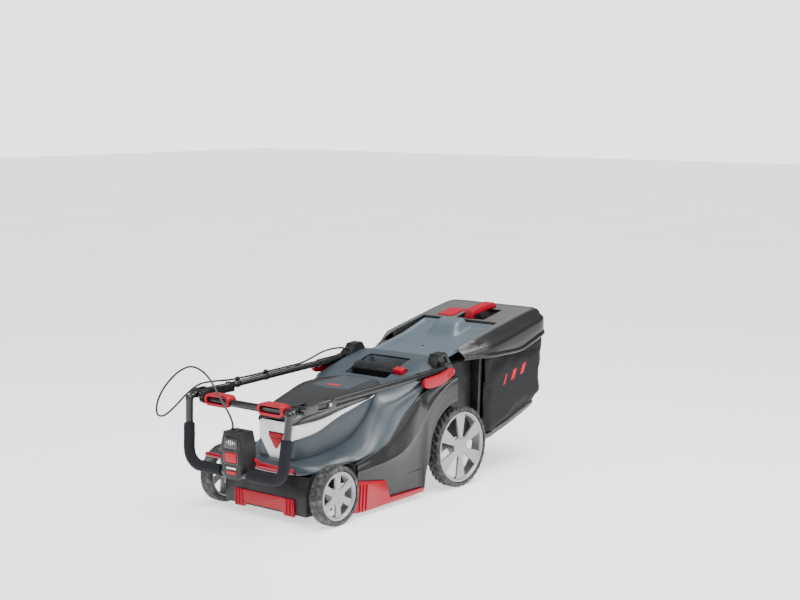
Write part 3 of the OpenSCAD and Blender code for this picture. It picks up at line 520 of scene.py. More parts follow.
def path_length(path):
    return sum((b - a).length for a, b in zip(path, path[1:]))


def tube_mesh(name, path, radius, sides=16):
    """A closed tube along a path, from a curve with a round bevel turned into a mesh."""
    curve = bpy.data.curves.new(name, "CURVE")
    curve.dimensions = "3D"
    curve.bevel_depth, curve.bevel_resolution, curve.use_fill_caps = radius, sides // 4, True
    strand = curve.splines.new("POLY")
    strand.points.add(len(path) - 1)
    for point, place in zip(strand.points, path):
        point.co = (*place, 1)
    piece = bpy.data.objects.new(name, curve)
    bpy.context.scene.collection.objects.link(piece)
    bpy.ops.object.select_all(action="DESELECT")
    piece.select_set(True)
    bpy.context.view_layer.objects.active = piece
    bpy.ops.object.convert(target="MESH")
    bpy.ops.object.shade_smooth()
    return bpy.context.object


run_path = spline([at(*point) for point in RUN_POINTS], 6)
loop_path = spline([at(*point) for point in LOOP_POINTS], 6)
cable_run = tube_mesh("cable_run", run_path, cable_radius * MM)
cable_loop = tube_mesh("cable_loop", loop_path, cable_radius * MM)
for piece in (cable_run, cable_loop):
    piece.data.materials.append(cable)
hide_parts("cord_run")
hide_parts("cord_loop")
at(-163, 458, 366)
at(-179, 370, 366)
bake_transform(cable_run)
at(-190, -40, 338)
at(-218, -120, 312)
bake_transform(cable_loop)
path_length(run_path)
path_length(loop_path)
print("cable lengths", round(path_length(run_path), 3), round(path_length(loop_path), 3))

# %% [markdown]
# ## Modelling helpers
# Three ways of working cover the whole machine. Flat-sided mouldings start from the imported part,
# and get rounded edges, as a real mould has. Flowing shells are laid as a grid over rows of points
# and smoothed. Turned and box-like pieces start from a primitive shaped in edit mode.

# %% Selecting and finishing


def alone(piece):
    """Makes piece the only selected object."""
    bpy.ops.object.select_all(action="DESELECT")
    piece.select_set(True)
    bpy.context.view_layer.objects.active = piece
    return piece


def modified(piece, kind, **settings):
    """Adds one modifier and applies it."""
    alone(piece)
    modifier = piece.modifiers.new(kind.title(), kind)
    for key, value in settings.items():
        setattr(modifier, key, value)
    bpy.ops.object.modifier_apply(modifier=modifier.name)
    return piece


def edited(piece, operator, **settings):
    """Runs one mesh operator in edit mode on the whole piece."""
    alone(piece)
    bpy.ops.object.mode_set(mode="EDIT")
    bpy.ops.mesh.select_all(action="SELECT")
    operator(**settings)
    bpy.ops.object.mode_set(mode="OBJECT")
    return piece


def smoothed(piece, angle):
    """Shades a piece smooth, except over edges sharper than the angle in degrees."""
    alone(piece)
    bpy.ops.object.shade_smooth_by_angle(angle=math.radians(angle))
    return piece


def rounded(piece, width, segments=3, angle=35):
    """Bevels the sharp edges and shades the rest smooth; width is in millimetres."""
    modified(piece, "BEVEL", width=width * MM, segments=segments, limit_method="ANGLE",
             angle_limit=math.radians(angle), miter_outer="MITER_ARC")
    return smoothed(piece, angle)


def done(piece, finish, body, replaces=()):
    """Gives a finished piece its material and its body."""
    alone(piece)
    bpy.ops.object.transform_apply(location=True, rotation=True, scale=True)
    piece.data.materials.clear()
    piece.data.materials.append(finish)
    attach(piece, body)
    if replaces:
        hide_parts(*replaces)
    print(piece.name, len(piece.data.polygons), "faces on", body)
    return piece


def cleaned(name, new_name):
    """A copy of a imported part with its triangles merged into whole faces."""
    piece = bpy.data.objects.new(new_name, nodes[name].data.copy())
    bpy.context.scene.collection.objects.link(piece)
    edited(piece, bpy.ops.mesh.remove_doubles, threshold=0.00002)
    return edited(piece, bpy.ops.mesh.dissolve_limited, angle_limit=math.radians(0.6))


def softened(name, width, finish, segments=3):
    """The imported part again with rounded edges, in place of the sharp one."""
    piece = rounded(cleaned(name, name + "_moulded"), width, segments)
    return done(piece, finish, nodes[name]["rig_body"], [name])


# %% [markdown]
# A flowing shell starts as a flat grid, the way a sheet is laid over a form. Every grid point is
# moved to its place on the rows, which are smoothed both ways first.

# %% Shells laid over rows of points


def lookup(y, pairs):
    """The value at y on a broken line given as (y, value) pairs."""
    if y <= pairs[0][0]:
        return pairs[0][1]
    for (y0, v0), (y1, v1) in zip(pairs, pairs[1:]):
        if y <= y1:
            return v0 + (v1 - v0) * (y - y0) / (y1 - y0)
    return pairs[-1][1]


def shell(name, rows, across=3, along=3, thickness=0.0):
    """A smooth skin over rows of (x, y, z) points in millimetres."""
    rows = [spline(row, across) for row in rows]
    columns = [spline(column, along) for column in zip(*rows)]
    rows = list(zip(*columns))
    wide, long = len(rows[0]), len(rows)
    bpy.ops.mesh.primitive_grid_add(x_subdivisions=wide - 1, y_subdivisions=long - 1, size=1)
    piece = bpy.context.object
    piece.name = name
    order = sorted(piece.data.vertices, key=lambda v: (round(v.co.y, 5), round(v.co.x, 5)))
    for vertex, place in zip(order, (point for row in rows for point in row)):
        vertex.co = at(*place)
    edited(piece, bpy.ops.mesh.remove_doubles, threshold=0.00002)
    if thickness:
        modified(piece, "SOLIDIFY", thickness=thickness * MM, offset=-1)
    return piece


def face_outwards(piece):
    """Turns the normals of a closed piece outwards."""
    return edited(piece, bpy.ops.mesh.normals_make_consistent, inside=False)


def cut(piece, cutter):
    """Takes the cutter's volume out of the piece and removes the cutter."""
    modified(piece, "BOOLEAN", operation="DIFFERENCE", object=cutter, solver="EXACT")
    bpy.data.objects.remove(cutter)
    return piece


def block(name, low, high, bevel=0.0, segments=3):
    """A box between two corners in millimetres, with its edges bevelled in edit mode."""
    low, high = at(*low), at(*high)
    bpy.ops.mesh.primitive_cube_add(size=1, location=(low + high) / 2, scale=high - low)
    piece = bpy.context.object
    piece.name = name
    bpy.ops.object.transform_apply(location=True, rotation=True, scale=True)
    if bevel:
        edited(piece, bpy.ops.mesh.bevel, offset=bevel * MM, segments=segments, affect="EDGES")
    return piece


def extruded(name, outline, axis, start, end):
    """A flat outline, filled and extruded along an axis.

    Along x its points are (y, z), along y they are (x, z), and along z they are (x, y).
    """
    place = {"x": lambda a, b, c: (c, a, b), "y": lambda a, b, c: (a, c, b),
             "z": lambda a, b, c: (a, b, c)}[axis]
    bpy.ops.mesh.primitive_circle_add(vertices=len(outline), radius=1, fill_type="NGON")
    piece = bpy.context.object
    piece.name = name
    for vertex, (a, b) in zip(piece.data.vertices, outline):
        vertex.co = at(*place(a, b, start))
    push = at(*place(0, 0, end)) - at(*place(0, 0, start))
    edited(piece, bpy.ops.mesh.extrude_region_move, TRANSFORM_OT_translate={"value": push})
    return face_outwards(piece)


def mirrored(right_half):
    """A row across the machine from points of its right half, the lowest first."""
    return list(right_half) + [(-x, y, z) for x, y, z in reversed(right_half) if x > 0.01]


print("modelling helpers ready")

# %% [markdown]
# ## The hood
# The slate hood is one flowing moulding: low over the front axle, rising in a long curve along both
# sides to the carry handle. It is laid over rings across the machine, one every few centimetres.
# The wells and the opening for the battery pod are cut afterwards, as a mould's inserts cut them.

# %% Outlines shared by the shells
DECK_TOP = [(-50, 88), (-36, 120), (-20, 127), (95, 142), (166, 158), (221, 177), (277, 226),
            (382, 300), (440, 314), (520, 318)]
# y, half width at the edge, shoulder x and z, crest x and z
HOOD_RINGS = [
    (-33, 98, 92, 130, 80, 134), (-24, 124, 114, 139, 96, 143), (0, 143, 130, 142, 100, 146),
    (50, 147, 134, 147, 104, 151), (92, 165, 146, 155, 108, 158), (112, 180, 154, 160, 110, 165),
    (166, 186, 162, 178, 114, 188), (221, 188, 165, 215, 124, 244), (250, 188, 166, 246, 128, 281),
    (277, 188, 168, 266, 126, 295), (330, 187, 170, 292, 122, 308), (382, 185, 168, 316, 122, 328),
    (440, 168, 158, 338, 122, 350), (500, 157, 150, 351, 124, 364), (513, 155, 149, 350, 128, 361)]


def edge_height(y):
    return lookup(y, DECK_TOP)


def hood_row(ring):
    y, edge, shoulder_x, shoulder_z, crest_x, crest_z = ring
    low = edge_height(y)
    return mirrored([(edge, y, low + 0.5), (edge - 0.5, y, low + 5), (shoulder_x, y, shoulder_z),
                     (crest_x, y, crest_z), (crest_x * 0.5, y, crest_z + 1.5), (0, y, crest_z + 2)])


print("the hood is laid over", len(HOOD_RINGS), "rings")

# %% [markdown]
# The hood is smoothed both ways between its rings. The opening for the pod follows the pod's own
# outline with a small gap, so the two pieces can never run into each other.

# %% Hood
POD_HALF = [(-4, 60), (0, 64), (41, 78), (120, 97), (200, 118), (240, 121), (262, 112)]


def pod_outline(grow, steps=5):
    """Outline of the pod from above, as (x, y) points, running round it once."""
    half = [(x + grow, y) for y, x in POD_HALF]
    half[0] = (half[0][0], half[0][1] - grow)
    half[-1] = (half[-1][0], half[-1][1] + grow)
    smooth = [(p.x, p.y) for p in spline([(x, y, 0) for x, y in half], steps)]
    return smooth + [(-x, y) for x, y in reversed(smooth)]


hood = shell("hood_shell", [hood_row(ring) for ring in HOOD_RINGS], 4, 4, thickness=3)
cut(hood, extruded("pod_opening", pod_outline(1.3), "z", 100, 400))
cut(hood, block("well_cut", (-76, 354, 262), (76, 468, 420), bevel=5))
cut(hood, block("button_cut", (75, 378, 250), (115, 408, 400), bevel=4))
for side in (-1, 1):
    low_x, high_x = sorted((side * 150.6, side * 210))
    cut(hood, block("bracket_cut", (low_x, 462.6, 300), (high_x, 530, 380)))
rounded(hood, 1.2, 2, 40)
done(hood, slate_plastic, "chassis", ["hood"])

# %% [markdown]
# The finger well is a plain trough under the carry bar. It is a bevelled block hollowed by another
# one, and its rim is lowered to the hood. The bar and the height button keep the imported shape, with
# wide round edges.

# %% Carry well and bar
well = block("carry_well", (-79, 351, 262), (79, 471, 370))
cut(well, block("well_hollow", (-75.8, 354.2, 266), (75.8, 467.8, 420), bevel=4))
for vertex in well.data.vertices:
    y = (vertex.co.y - axle_y) / MM
    limit = lookup(y, [(330, 307), (382, 327), (440, 349), (500, 364)]) * MM
    vertex.co.z = min(vertex.co.z, limit)
rounded(well, 1, 2)
done(well, slate_plastic, "chassis")
softened("carry_handle", 4, black_plastic, 4)
softened("height_button", 4, red_plastic, 4)

# %% [markdown]
# ## The deck
# The black deck stays underneath as packed, with its edges rounded. Over its sides goes a sculpted
# skin: below the hood's edge a wide glossy band leans out to a crease, and under the crease the
# side drops almost straight. At the back the skin follows the wheel arch, so its lowest line is
# worked out from the arch's circle.

# %% Side skins
# y, height of the crease, half width at the crease
CREASE = [(96, 121, 197), (130, 124, 200), (165, 128, 203), (200, 132, 206), (235, 139, 208),
          (262, 146, 209), (290, 160, 210), (318, 183, 210), (345, 212, 210), (372, 238, 210),
          (388, 254, 209), (405, 268, 209), (430, 284, 208), (458, 298, 206), (487, 309, 204),
          (517, 314, 203)]
arch_y, arch_z, arch_r = 531, 115, 137


def skin_low(y):
    """Lowest line of the side: straight, then up the front of the wheel arch."""
    if y < 374:
        return 26
    if y < 396:
        return lookup(y, [(374, 70), (396, 118)])
    return arch_z + math.sqrt(arch_r ** 2 - (arch_y - y) ** 2)


def side_row(y, crease_z, crease_x):
    top = edge_height(y) - 0.5
    low = skin_low(y)
    crease_z = min(crease_z, top - 4)
    base_x = lookup(y, [(96, 192.5), (366, 195), (376, 202.5), (520, 202)])
    edge_x = lookup(y, [(96, 190.6), (366, 190.8), (376, 200.8), (520, 200.8)])
    band = top - crease_z
    return [(edge_x, y, top), (edge_x + 2.2, y, top - 1.5), (edge_x + 4.5, y, top - band * 0.3),
            (edge_x * 0.45 + crease_x * 0.55, y, top - band * 0.62), (crease_x - 1, y, crease_z + 2.5),
            (crease_x, y, crease_z - 0.5), (crease_x - 2.5, y, crease_z - 4),
            (crease_x * 0.4 + base_x * 0.6, y, crease_z * 0.75 + low * 0.25 - 2),
            (base_x, y, crease_z * 0.3 + low * 0.7), (base_x - 0.5, y, low + 1), (base_x - 2, y, low)]


for side, name in ((1, "deck_side_right"), (-1, "deck_side_left")):
    stations = [CREASE[0]]
    for start, end in zip(CREASE, CREASE[1:]):
        steps = 2 if end[0] < 374 else 4
        stations += [[a + (b - a) * k / steps for a, b in zip(start, end)]
                     for k in range(1, steps + 1)]
    rows = [[(side * x, y, z) for x, y, z in side_row(*values)] for values in stations]
    if side == 1:
        rows = [row[::-1] for row in rows]
    skin = shell(name, rows, 3, 1, thickness=1.4)
    smoothed(skin, 50)
    done(skin, side_black, "chassis")
softened("deck", 2.2, black_plastic, 2)
for node, width in (("front_comb", 1.2), ("side_comb_left", 1.6), ("side_comb_right", 1.6),
                    ("trim_strip", 1.2)):
    softened(node, width, red_plastic, 2)

# %% [markdown]
# A thin bright line under the red strip across the nose is a painted highlight: a length of round
# silver wire, laid along a shallow arc, stands for the light that this edge catches. The parting
# seams of the deck's sides are made in the same way, but thinner.

# %% Painted highlight line and parting seams
# The silver wire along this arc is a painted highlight: it stands for the light under the red strip,
# not for a part.
highlight_arc = [at(x, -38.2 + (x / 96) ** 2 * 6, 119.3 + (x / 96) ** 2 * 4) for x in range(-92, 93, 8)]
done(tube_mesh("painted_highlight_line", highlight_arc, 0.0016, 8), wheel_silver, "chassis")
for side, name in ((1, "seam_right"), (-1, "seam_left")):
    seam = [at(side * lookup(y, [(205, 194.4), (366, 197.6)]), y, lookup(y, [(205, 72), (366, 82)]))
            for y in range(205, 367, 7)]
    done(tube_mesh(name, seam, 0.0007, 8), gloss_black, "chassis")

# %% [markdown]
# The pivot brackets are slanted blocks beside the ends of the tubes. Their outline is drawn from
# the side and given its width by extruding, and a pocket is cut into the outer face.

# %% Pivot brackets
bracket_side = [(462, 318), (462, 370), (470, 382), (502, 385), (508, 382), (534, 344), (534, 338),
                (506, 318)]
for side, name in ((1, "pivot_bracket_right"), (-1, "pivot_bracket_left")):
    bracket = extruded(name, bracket_side, "x", side * 140, side * 171)
    cut(bracket, extruded("bracket_hollow", [(476, 352), (476, 372), (500, 373), (518, 348)], "x",
                          side * 165, side * 175))
    rounded(bracket, 2, 3)
    done(bracket, black_plastic, "chassis",
         ["handle_brackets"] if side == 1 else [])

# %% [markdown]
# ## The battery pod
# The pod stands in the hood: a slate wall below, a white band that sweeps up and back above it,
# and a dark glossy lid. Its walls are laid as grids round the pod's outline, and each height comes
# from a line along the side of the machine, so that the sweep is one curve.

# %% Heights along the pod
POD_CREASE = [(-6, 141), (41, 144), (120, 156), (161, 168), (202, 212), (229, 250), (262, 284)]
POD_BAND = [(-6, 203), (0, 205), (67, 219), (124, 250), (217, 286), (262, 292)]
POD_EDGE = [(-6, 245), (28, 247), (95, 257), (144, 272), (217, 288), (262, 296)]


def smooth_lookup(y, pairs):
    """Like lookup, but averaged over a few centimetres so that the line has no corners."""
    return sum(lookup(y + shift, pairs) for shift in (-18, -9, 0, 9, 18)) / 5


def pod_path():
    """Round the pod from the right rear, past the front, to the left rear."""
    half = [(p.x, p.y) for p in spline([(x, y, 0) for y, x in POD_HALF], 6)]
    front = [(x, -4 - (1 - (x / 60) ** 2) * 1.5) for x in (45, 30, 15, 0, -15, -30, -45)]
    return half[::-1] + front + [(-x, y) for x, y in half]


def pod_wall(name, low, high, proud, finish, replaces, levels=5):
    """A wall between two lines of heights, standing proud of the outline."""
    rows = []
    for level in range(levels + 1):
        share = level / levels
        row = []
        for x, y in pod_path():
            z = smooth_lookup(y, low) * (1 - share) + smooth_lookup(y, high) * share
            swell = 1 + (proud + 1.4 * math.sin(math.pi * share)) / 100
            row.append((x * swell, y - (proud if y < 0 else 0), z))
        rows.append(row)
    wall = shell(name, rows[::-1], 1, 1, thickness=2.2)
    rounded(wall, 0.6, 2, 50)
    return done(wall, finish, "chassis", replaces)


def latch_opening():
    """The hole behind the latch, which lets it move in when it is pressed."""
    return extruded("latch_opening", [(-6, 176), (6, 176), (28, 203), (28, 219), (-28, 219),
                                      (-28, 203)], "y", -14, 3)


side_wall = pod_wall("pod_side", [(y, z - 9) for y, z in POD_CREASE],
                     [(y, z + 2) for y, z in POD_BAND], -0.6, slate_plastic,
                     ["motor_cover"])
band_wall = pod_wall("pod_band", POD_BAND, [(y, z + 3.5) for y, z in POD_EDGE], 0.5, white_gloss,
                     ["white_trim"])
cut(side_wall, latch_opening())
cut(band_wall, latch_opening())

# %% [markdown]
# The white keystone on the pod's front is a flat plate, wide above and narrow below, with soft
# edges. The red latch sits in its middle, with a fuller upper lip to pull.

# %% Keystone and latch
keystone = extruded("keystone", [(-19, 137), (19, 137), (21, 145), (61, 205), (61, 212), (-61, 212),
                                 (-61, 205), (-21, 145)], "y", -6.6, -4.2)
rounded(keystone, 0.8, 3)
done(keystone, white_gloss, "chassis")
softened("lid_latch", 1.2, red_plastic, 3)
latch_lip = extruded("latch_lip", [(-25, 205), (25, 205), (23.5, 214), (12, 217), (-12, 217),
                                   (-23.5, 214)], "y", -10.5, -5)
rounded(latch_lip, 2.4, 4)
done(latch_lip, red_plastic, "latch")
latch_face = extruded("latch_face", [(-4, 179), (4, 179), (22, 203), (-22, 203)], "y", -8.2, -6)
rounded(latch_face, 1, 3)
done(latch_face, red_plastic, "latch")

# %% [markdown]
# ## The lid
# The lid is a shallow glossy dome that overhangs the band. Its rows run across the machine, from
# a turned-in lip at the edge to the flat crown.

# %% Lid
# y, half width, edge height, crown height
LID_RINGS = [(-9, 58, 247, 254), (-4, 64, 246, 259), (6, 69, 247, 266), (30, 77, 249, 276),
             (76, 90, 255, 286), (140, 103, 272, 298), (195, 117, 285, 306), (228, 121, 291, 310),
             (262, 113, 299, 313), (295, 96, 307, 315), (326, 72, 312, 318)]


def lid_row(y, half, edge, crown):
    rise = crown - edge
    return mirrored([(half - 3, y, edge - 1.5), (half + 1, y, edge), (half + 1.2, y, edge + 2.5),
                     (half - 1.5, y, edge + rise * 0.45), (half - 9, y, edge + rise * 0.82),
                     (half - 24, y, crown - 0.5), (half * 0.4, y, crown + 1.6), (0, y, crown + 2)])


lid = shell("lid_shell", [lid_row(*ring) for ring in LID_RINGS], 3, 5, thickness=2.2)
smoothed(lid, 40)
done(lid, lid_gloss, "lid", ["battery_lid"])


def lid_height(x, y):
    """Height of the lid's skin at a place, for what lies on it."""
    half, edge, crown = (lookup(y, [(ring[0], ring[k]) for ring in LID_RINGS]) for k in (1, 2, 3))
    side = half - abs(x)
    return lookup(side, [(0, edge + 3), (9, edge + (crown - edge) * 0.82), (24, crown - 0.5),
                         (half * 0.6, crown + 1.6), (half, crown + 2)])


def lid_patch(name, half_front, half_rear, start, end, lift, finish, curve=14):
    """A thin plate that follows the lid, with a curved front edge."""
    rows = []
    for step in range(11):
        share = step / 10
        half = half_front * (1 - share) + half_rear * share
        row = []
        for side in range(-8, 9):
            x = half * side / 8
            y = start + (end - start) * share + curve * (1 - share) * (side / 8) ** 2
            row.append((x, y, lid_height(x, y) + lift))
        rows.append(row)
    patch = shell(name, rows, 1, 1, thickness=1.6)
    rounded(patch, 0.5, 2, 50)
    return done(patch, finish, "lid")


lid_patch("lid_tongue", 66, 54, 192, 322, 2.6, slate_plastic)
lid_patch("lid_badge", 22, 24, 212, 228, 3.3, faded_red, 3)

# %% [markdown]
# ## The wheels
# A tyre is a ring whose skin drops into grooves between tread blocks. Its points are worked out
# round the wheel: the outer radius is lowered where a groove runs, and the grooves slant one way on
# the left half of the tread and the other way on the right half. The rear tyres are large and have
# coarse blocks, while the front tyres have a fine, shallow pattern.

# %% Tyres


def tyre_ring(node, blocks, depth, slant, finish):
    """A tyre with its tread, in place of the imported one; depth is the groove's, in metres."""
    low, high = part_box(node)
    centre, outer = (low + high) / 2, (high.z - low.z) / 2
    half_wide = (high.x - low.x) / 2
    inner = outer - 0.0128
    profile = [(-1, inner), (-1, outer - 0.006), (-0.93, outer - 0.0025), (-0.82, outer - 0.0004),
               (-0.62, outer), (-0.42, outer), (-0.22, outer), (-0.1, outer), (-0.03, outer - depth),
               (0.03, outer - depth), (0.1, outer), (0.22, outer), (0.42, outer), (0.62, outer),
               (0.82, outer - 0.0004), (0.93, outer - 0.0025), (1, outer - 0.006), (1, inner)]
    steps = blocks * 6
    rows = []
    for step in range(steps + 1):
        row = []
        for wide, radius in profile:
            phase = (step / 6 + slant * abs(wide) + (0.5 if wide > 0 else 0)) % 1
            if radius > outer - 0.003 and 0.3 < abs(phase - 0.5) and abs(wide) > 0.05:
                radius = radius - depth
            angle = math.tau * step / steps
            x = (centre.x + wide * half_wide) / MM
            row.append((x, (centre.y + radius * math.sin(angle) - axle_y) / MM,
                        (centre.z + radius * math.cos(angle)) / MM))
        rows.append(row + row[:1])
    ring = face_outwards(shell(node + "_tread", rows, 1, 1))
    smoothed(ring, 28)
    done(ring, finish, nodes[node]["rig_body"], [node])


for node in ("front_tyre_left", "front_tyre_right"):
    tyre_ring(node, blocks=46, depth=0.0011, slant=0.8, finish=worn_tyre)
for node in ("rear_tyre_left", "rear_tyre_right"):
    tyre_ring(node, blocks=34, depth=0.0034, slant=0.7, finish=tyre)

# %% [markdown]
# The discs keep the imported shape, with the edges of rim, spokes and windows rounded. A small cap
# with a pressed rim closes each hub.

# %% Discs and hub caps
for node in ("front_disc_left", "front_disc_right", "rear_disc_left", "rear_disc_right"):
    softened(node, 1.3, wheel_silver, 3)
    low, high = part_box(node)
    side = 1 if low.x > 0 else -1
    radius = 0.009 if "front" in node else 0.012
    face_x = (high.x if side > 0 else low.x) - side * 0.0016
    bpy.ops.object.select_all(action="DESELECT")
    bpy.ops.mesh.primitive_cylinder_add(
        vertices=40, radius=radius, depth=0.003, rotation=(0, math.pi / 2, 0),
        location=(face_x, (low.y + high.y) / 2, (low.z + high.z) / 2))
    cap = bpy.context.object
    cap.name = node + "_cap"
    edited(cap, bpy.ops.mesh.bevel, offset=0.0007, segments=2)
    rounded(cap, 0.3, 2, 60)
    done(cap, wheel_silver, nodes[node]["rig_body"])

# %% [markdown]
# ## The handle
# Rings, tubes, clips and bail are right as packed, and so are the battery, its tray, the key, and
# the frame, base and level flap of the grass box. They only need the round edges of a mould or a
# saw cut. The bevel is as wide as each one can take.

# %% Parts that only need round edges
for node, width, finish in (
        ("ring_left", 4.5, red_plastic), ("ring_right", 4.5, red_plastic),
        ("lower_tube_left", 0.4, painted_tube), ("lower_tube_right", 0.4, painted_tube),
        ("cross_bar", 0.4, painted_tube), ("upper_bar", 0.4, painted_tube),
        ("cable_clips", 0.8, gloss_black),
        ("start_bail", 1.2, red_plastic), ("cable_gland", 0.8, black_plastic),
        ("safety_key", 2, red_plastic), ("battery_pack", 3, battery_shell),
        ("battery_tray", 1.2, black_plastic), ("box_frame", 2, box_plastic),
        ("box_base", 2, base_plastic), ("level_flap", 1, red_plastic)):
    softened(node, width, finish, 3)

# %% [markdown]
# A cam lever is a long oval blade, thick in the middle and thin at its tip. Its outline is a smooth
# closed line of a few points, and its faces are domed by a wide bevel. The fine ribs at the rear
# give the thumb a hold.

# %% Cam levers and pivot discs
LEVER_LINE = [(359, 319), (364, 309), (385, 304), (425, 306), (462, 315), (488, 327), (495, 337),
              (488, 347), (470, 345), (440, 338), (400, 334), (368, 331)]
closed_line = [(y, z, 0) for y, z in LEVER_LINE + LEVER_LINE[:1]]
lever_outline = [(point.x, point.y) for point in spline(closed_line, 4)[:-1]]
pivot_y, pivot_z = 487, 340


def circle_outline(radius, count):
    """A circle round the pivot, as (y, z) points."""
    return [(pivot_y + radius * math.cos(math.tau * k / count),
             pivot_z + radius * math.sin(math.tau * k / count)) for k in range(count)]


for side, name in ((1, "right"), (-1, "left")):
    blade = extruded("cam_blade_" + name, lever_outline, "x", side * 199.5, side * 211)
    rounded(blade, 3.6, 4)
    done(blade, red_plastic, "cam_" + name, ["lever_" + name])
    for index in range(4):
        y = 462 + index * 7
        rib = block(f"cam_rib_{name}_{index}", (min(side * 209, side * 212.4), y, 320 + index * 2),
                    (max(side * 209, side * 212.4), y + 3, 338 + index * 2), bevel=1.3)
        done(rib, red_plastic, "cam_" + name)
    disc = extruded("pivot_disc_" + name, circle_outline(21, 48), "x", side * 173.6, side * 196)
    cut(disc, extruded("disc_hole", circle_outline(9, 32), "x", side * 188, side * 200))
    rounded(disc, 2.4, 3)
    done(disc, black_plastic, "lower_handle")

# %% [markdown]
# The clamp on each tube end is a glossy shell with a long recess between its two screws. The
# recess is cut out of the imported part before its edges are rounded.

# %% Clamps and their screws
clamps = cleaned("handle_joints", "tube_clamps")
for side in (-1, 1):
    low_x, high_x = sorted((side * 192, side * 200))
    cut(clamps, block("recess", (low_x, -56, 309), (high_x, -18, 324), bevel=3))
    low_x, high_x = sorted((side * 168, side * 200))
    cut(clamps, block("waist", (low_x, -88, 326), (high_x, 2, 334), bevel=2))
rounded(clamps, 2.2, 3)
done(clamps, gloss_black, "lower_handle", ["handle_joints"])
for side, name in ((1, "right"), (-1, "left")):
    for y in (-65, -10):
        low_x, high_x = sorted((side * 195.5, side * 199.6))
        screw = block(f"clamp_screw_{name}_{y + 100}", (low_x, y - 4.6, 313.4),
                      (high_x, y + 4.6, 322.6), bevel=2.6, segments=4)
        done(screw, steel, "lower_handle")

# %% [markdown]
# The foam grip is a slit tube of closed-cell foam pushed over the bend of the bar. It is swept
# along the middle line of the bar on each side of the switch box, and its ends are drawn in a
# little, because foam is squeezed where it is cut.

# %% Foam grip
joint_y, joint_z, joint_x = -110, 316, 184
leg_y, bottom_y = joint_y - 35, joint_y - 47
grip_x, grip_z, bend = 172, 137, 42
switch_half, foam_radius = 48.6, 14.9


def leg_line(z):
    """Middle of a leg of the bar at a height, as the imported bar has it."""
    share = (z - grip_z - bend) / (joint_z - 8 - grip_z - bend)
    return (grip_x + (joint_x - 3 - grip_x) * share, bottom_y + (leg_y - bottom_y) * share, z)


def foam_line(side):
    """Middle line of the foam from the switch box round the bend and up the leg."""
    line = [(switch_half + (grip_x - bend - switch_half) * k / 9, bottom_y, grip_z)
            for k in range(10)]
    for k in range(1, 12):
        angle = math.pi / 2 * k / 12
        line.append((grip_x - bend + bend * math.sin(angle), bottom_y,
                     grip_z + bend - bend * math.cos(angle)))
    line += [leg_line(z) for z in range(179, 248, 6)]
    return [(side * x, y, z) for x, y, z in line]


def foam_tube(name, side, sides=28):
    """The foam as a grid round its line, with a slightly uneven, drawn-in skin."""
    line = [Vector(point) for point in foam_line(side)]
    rows = []
    for i, place in enumerate(line):
        heading = (line[min(i + 1, len(line) - 1)] - line[max(i - 1, 0)]).normalized()
        across = Vector((0, 1, 0)).cross(heading).normalized()
        up = heading.cross(across)
        near_end = min(i, len(line) - 1 - i)
        swell = foam_radius - (0.9 if near_end == 0 else 0.25 if near_end == 1 else 0)
        row = []
        for k in range(sides + 1):
            angle = math.tau * k / sides
            radius = swell + 0.16 * math.sin(3 * angle + i * 0.9) + 0.1 * math.sin(i * 1.7)
            row.append(tuple(place + (across * math.cos(angle) + up * math.sin(angle)) * radius))
        rows.append(row)
    for end in (0, -1):
        mouth = [tuple(line[end] + (Vector(point) - line[end]) * 0.69) for point in rows[end]]
        rows.insert(0, mouth) if end == 0 else rows.append(mouth)
    piece = face_outwards(shell(name, rows, 1, 1))
    smoothed(piece, 50)
    done(piece, foam, "upper_handle", ["foam_grip"])


foam_tube("foam_right", 1)
foam_tube("foam_left", -1)

# %% [markdown]
# ## The switch box
# The box hangs in the middle of the bar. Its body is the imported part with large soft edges. On its
# face sit a row of small light marks, the red start button in a frame, and two plain strips.

# %% Switch box
softened("switch_housing", 3.6, switch_plastic, 4)
softened("start_button", 2.6, bright_red, 4)
face_y = -172.6
frame_outline = [(-25, 162), (25, 162), (27, 166), (27, 194), (25, 198), (-25, 198), (-27, 194),
                 (-27, 166)]
button_frame = extruded("button_frame", frame_outline, "y", face_y - 1.2, face_y + 1)
cut(button_frame, block("button_hole", (-21, -190, 166), (21, -150, 194), bevel=2.5))
rounded(button_frame, 0.6, 2)
done(button_frame, gloss_black, "upper_handle")
face_plate = extruded("face_plate", [(-21, 203), (21, 203), (24, 208), (23, 228), (17, 236),
                                     (-17, 236), (-23, 228), (-24, 208)], "y", face_y - 0.9, face_y + 1)
rounded(face_plate, 0.5, 2)
done(face_plate, gloss_black, "upper_handle")
for index, (x, tall) in enumerate(((-14, 4), (-7, 9), (0, 13), (7, 9), (14, 4))):
    mark = block(f"light_mark_{index}", (x - 1.4, face_y - 1.6, 219 - tall / 2),
                 (x + 1.4, face_y - 0.6, 219 + tall / 2), bevel=0.4)
    done(mark, mark_white, "upper_handle")
for name, low_z, high_z, half, finish in (("pale_strip", 149, 154.5, 17, mark_white),
                                          ("red_strip", 136, 144, 17, bright_red)):
    strip = block(name, (-half, face_y - 1.2, low_z), (half, face_y + 1, high_z), bevel=1.2)
    done(strip, finish, "upper_handle")

# %% [markdown]
# ## The rear flap
# The flap closes the chute and rests on the grass box. It is a dished plate: its rim stands up
# round a hollow field, and a broad bump at the rear is what the hand lifts it by. One height
# function describes all of it, and a grid is laid over that function.

# %% Flap
FLAP_TOP = [(520, 360), (560, 368), (671, 391), (740, 413), (785, 428)]


def eased(value, low, high):
    """0 below low, 1 above high, and a soft step between."""
    share = min(1, max(0, (value - low) / (high - low)))
    return share * share * (3 - 2 * share)


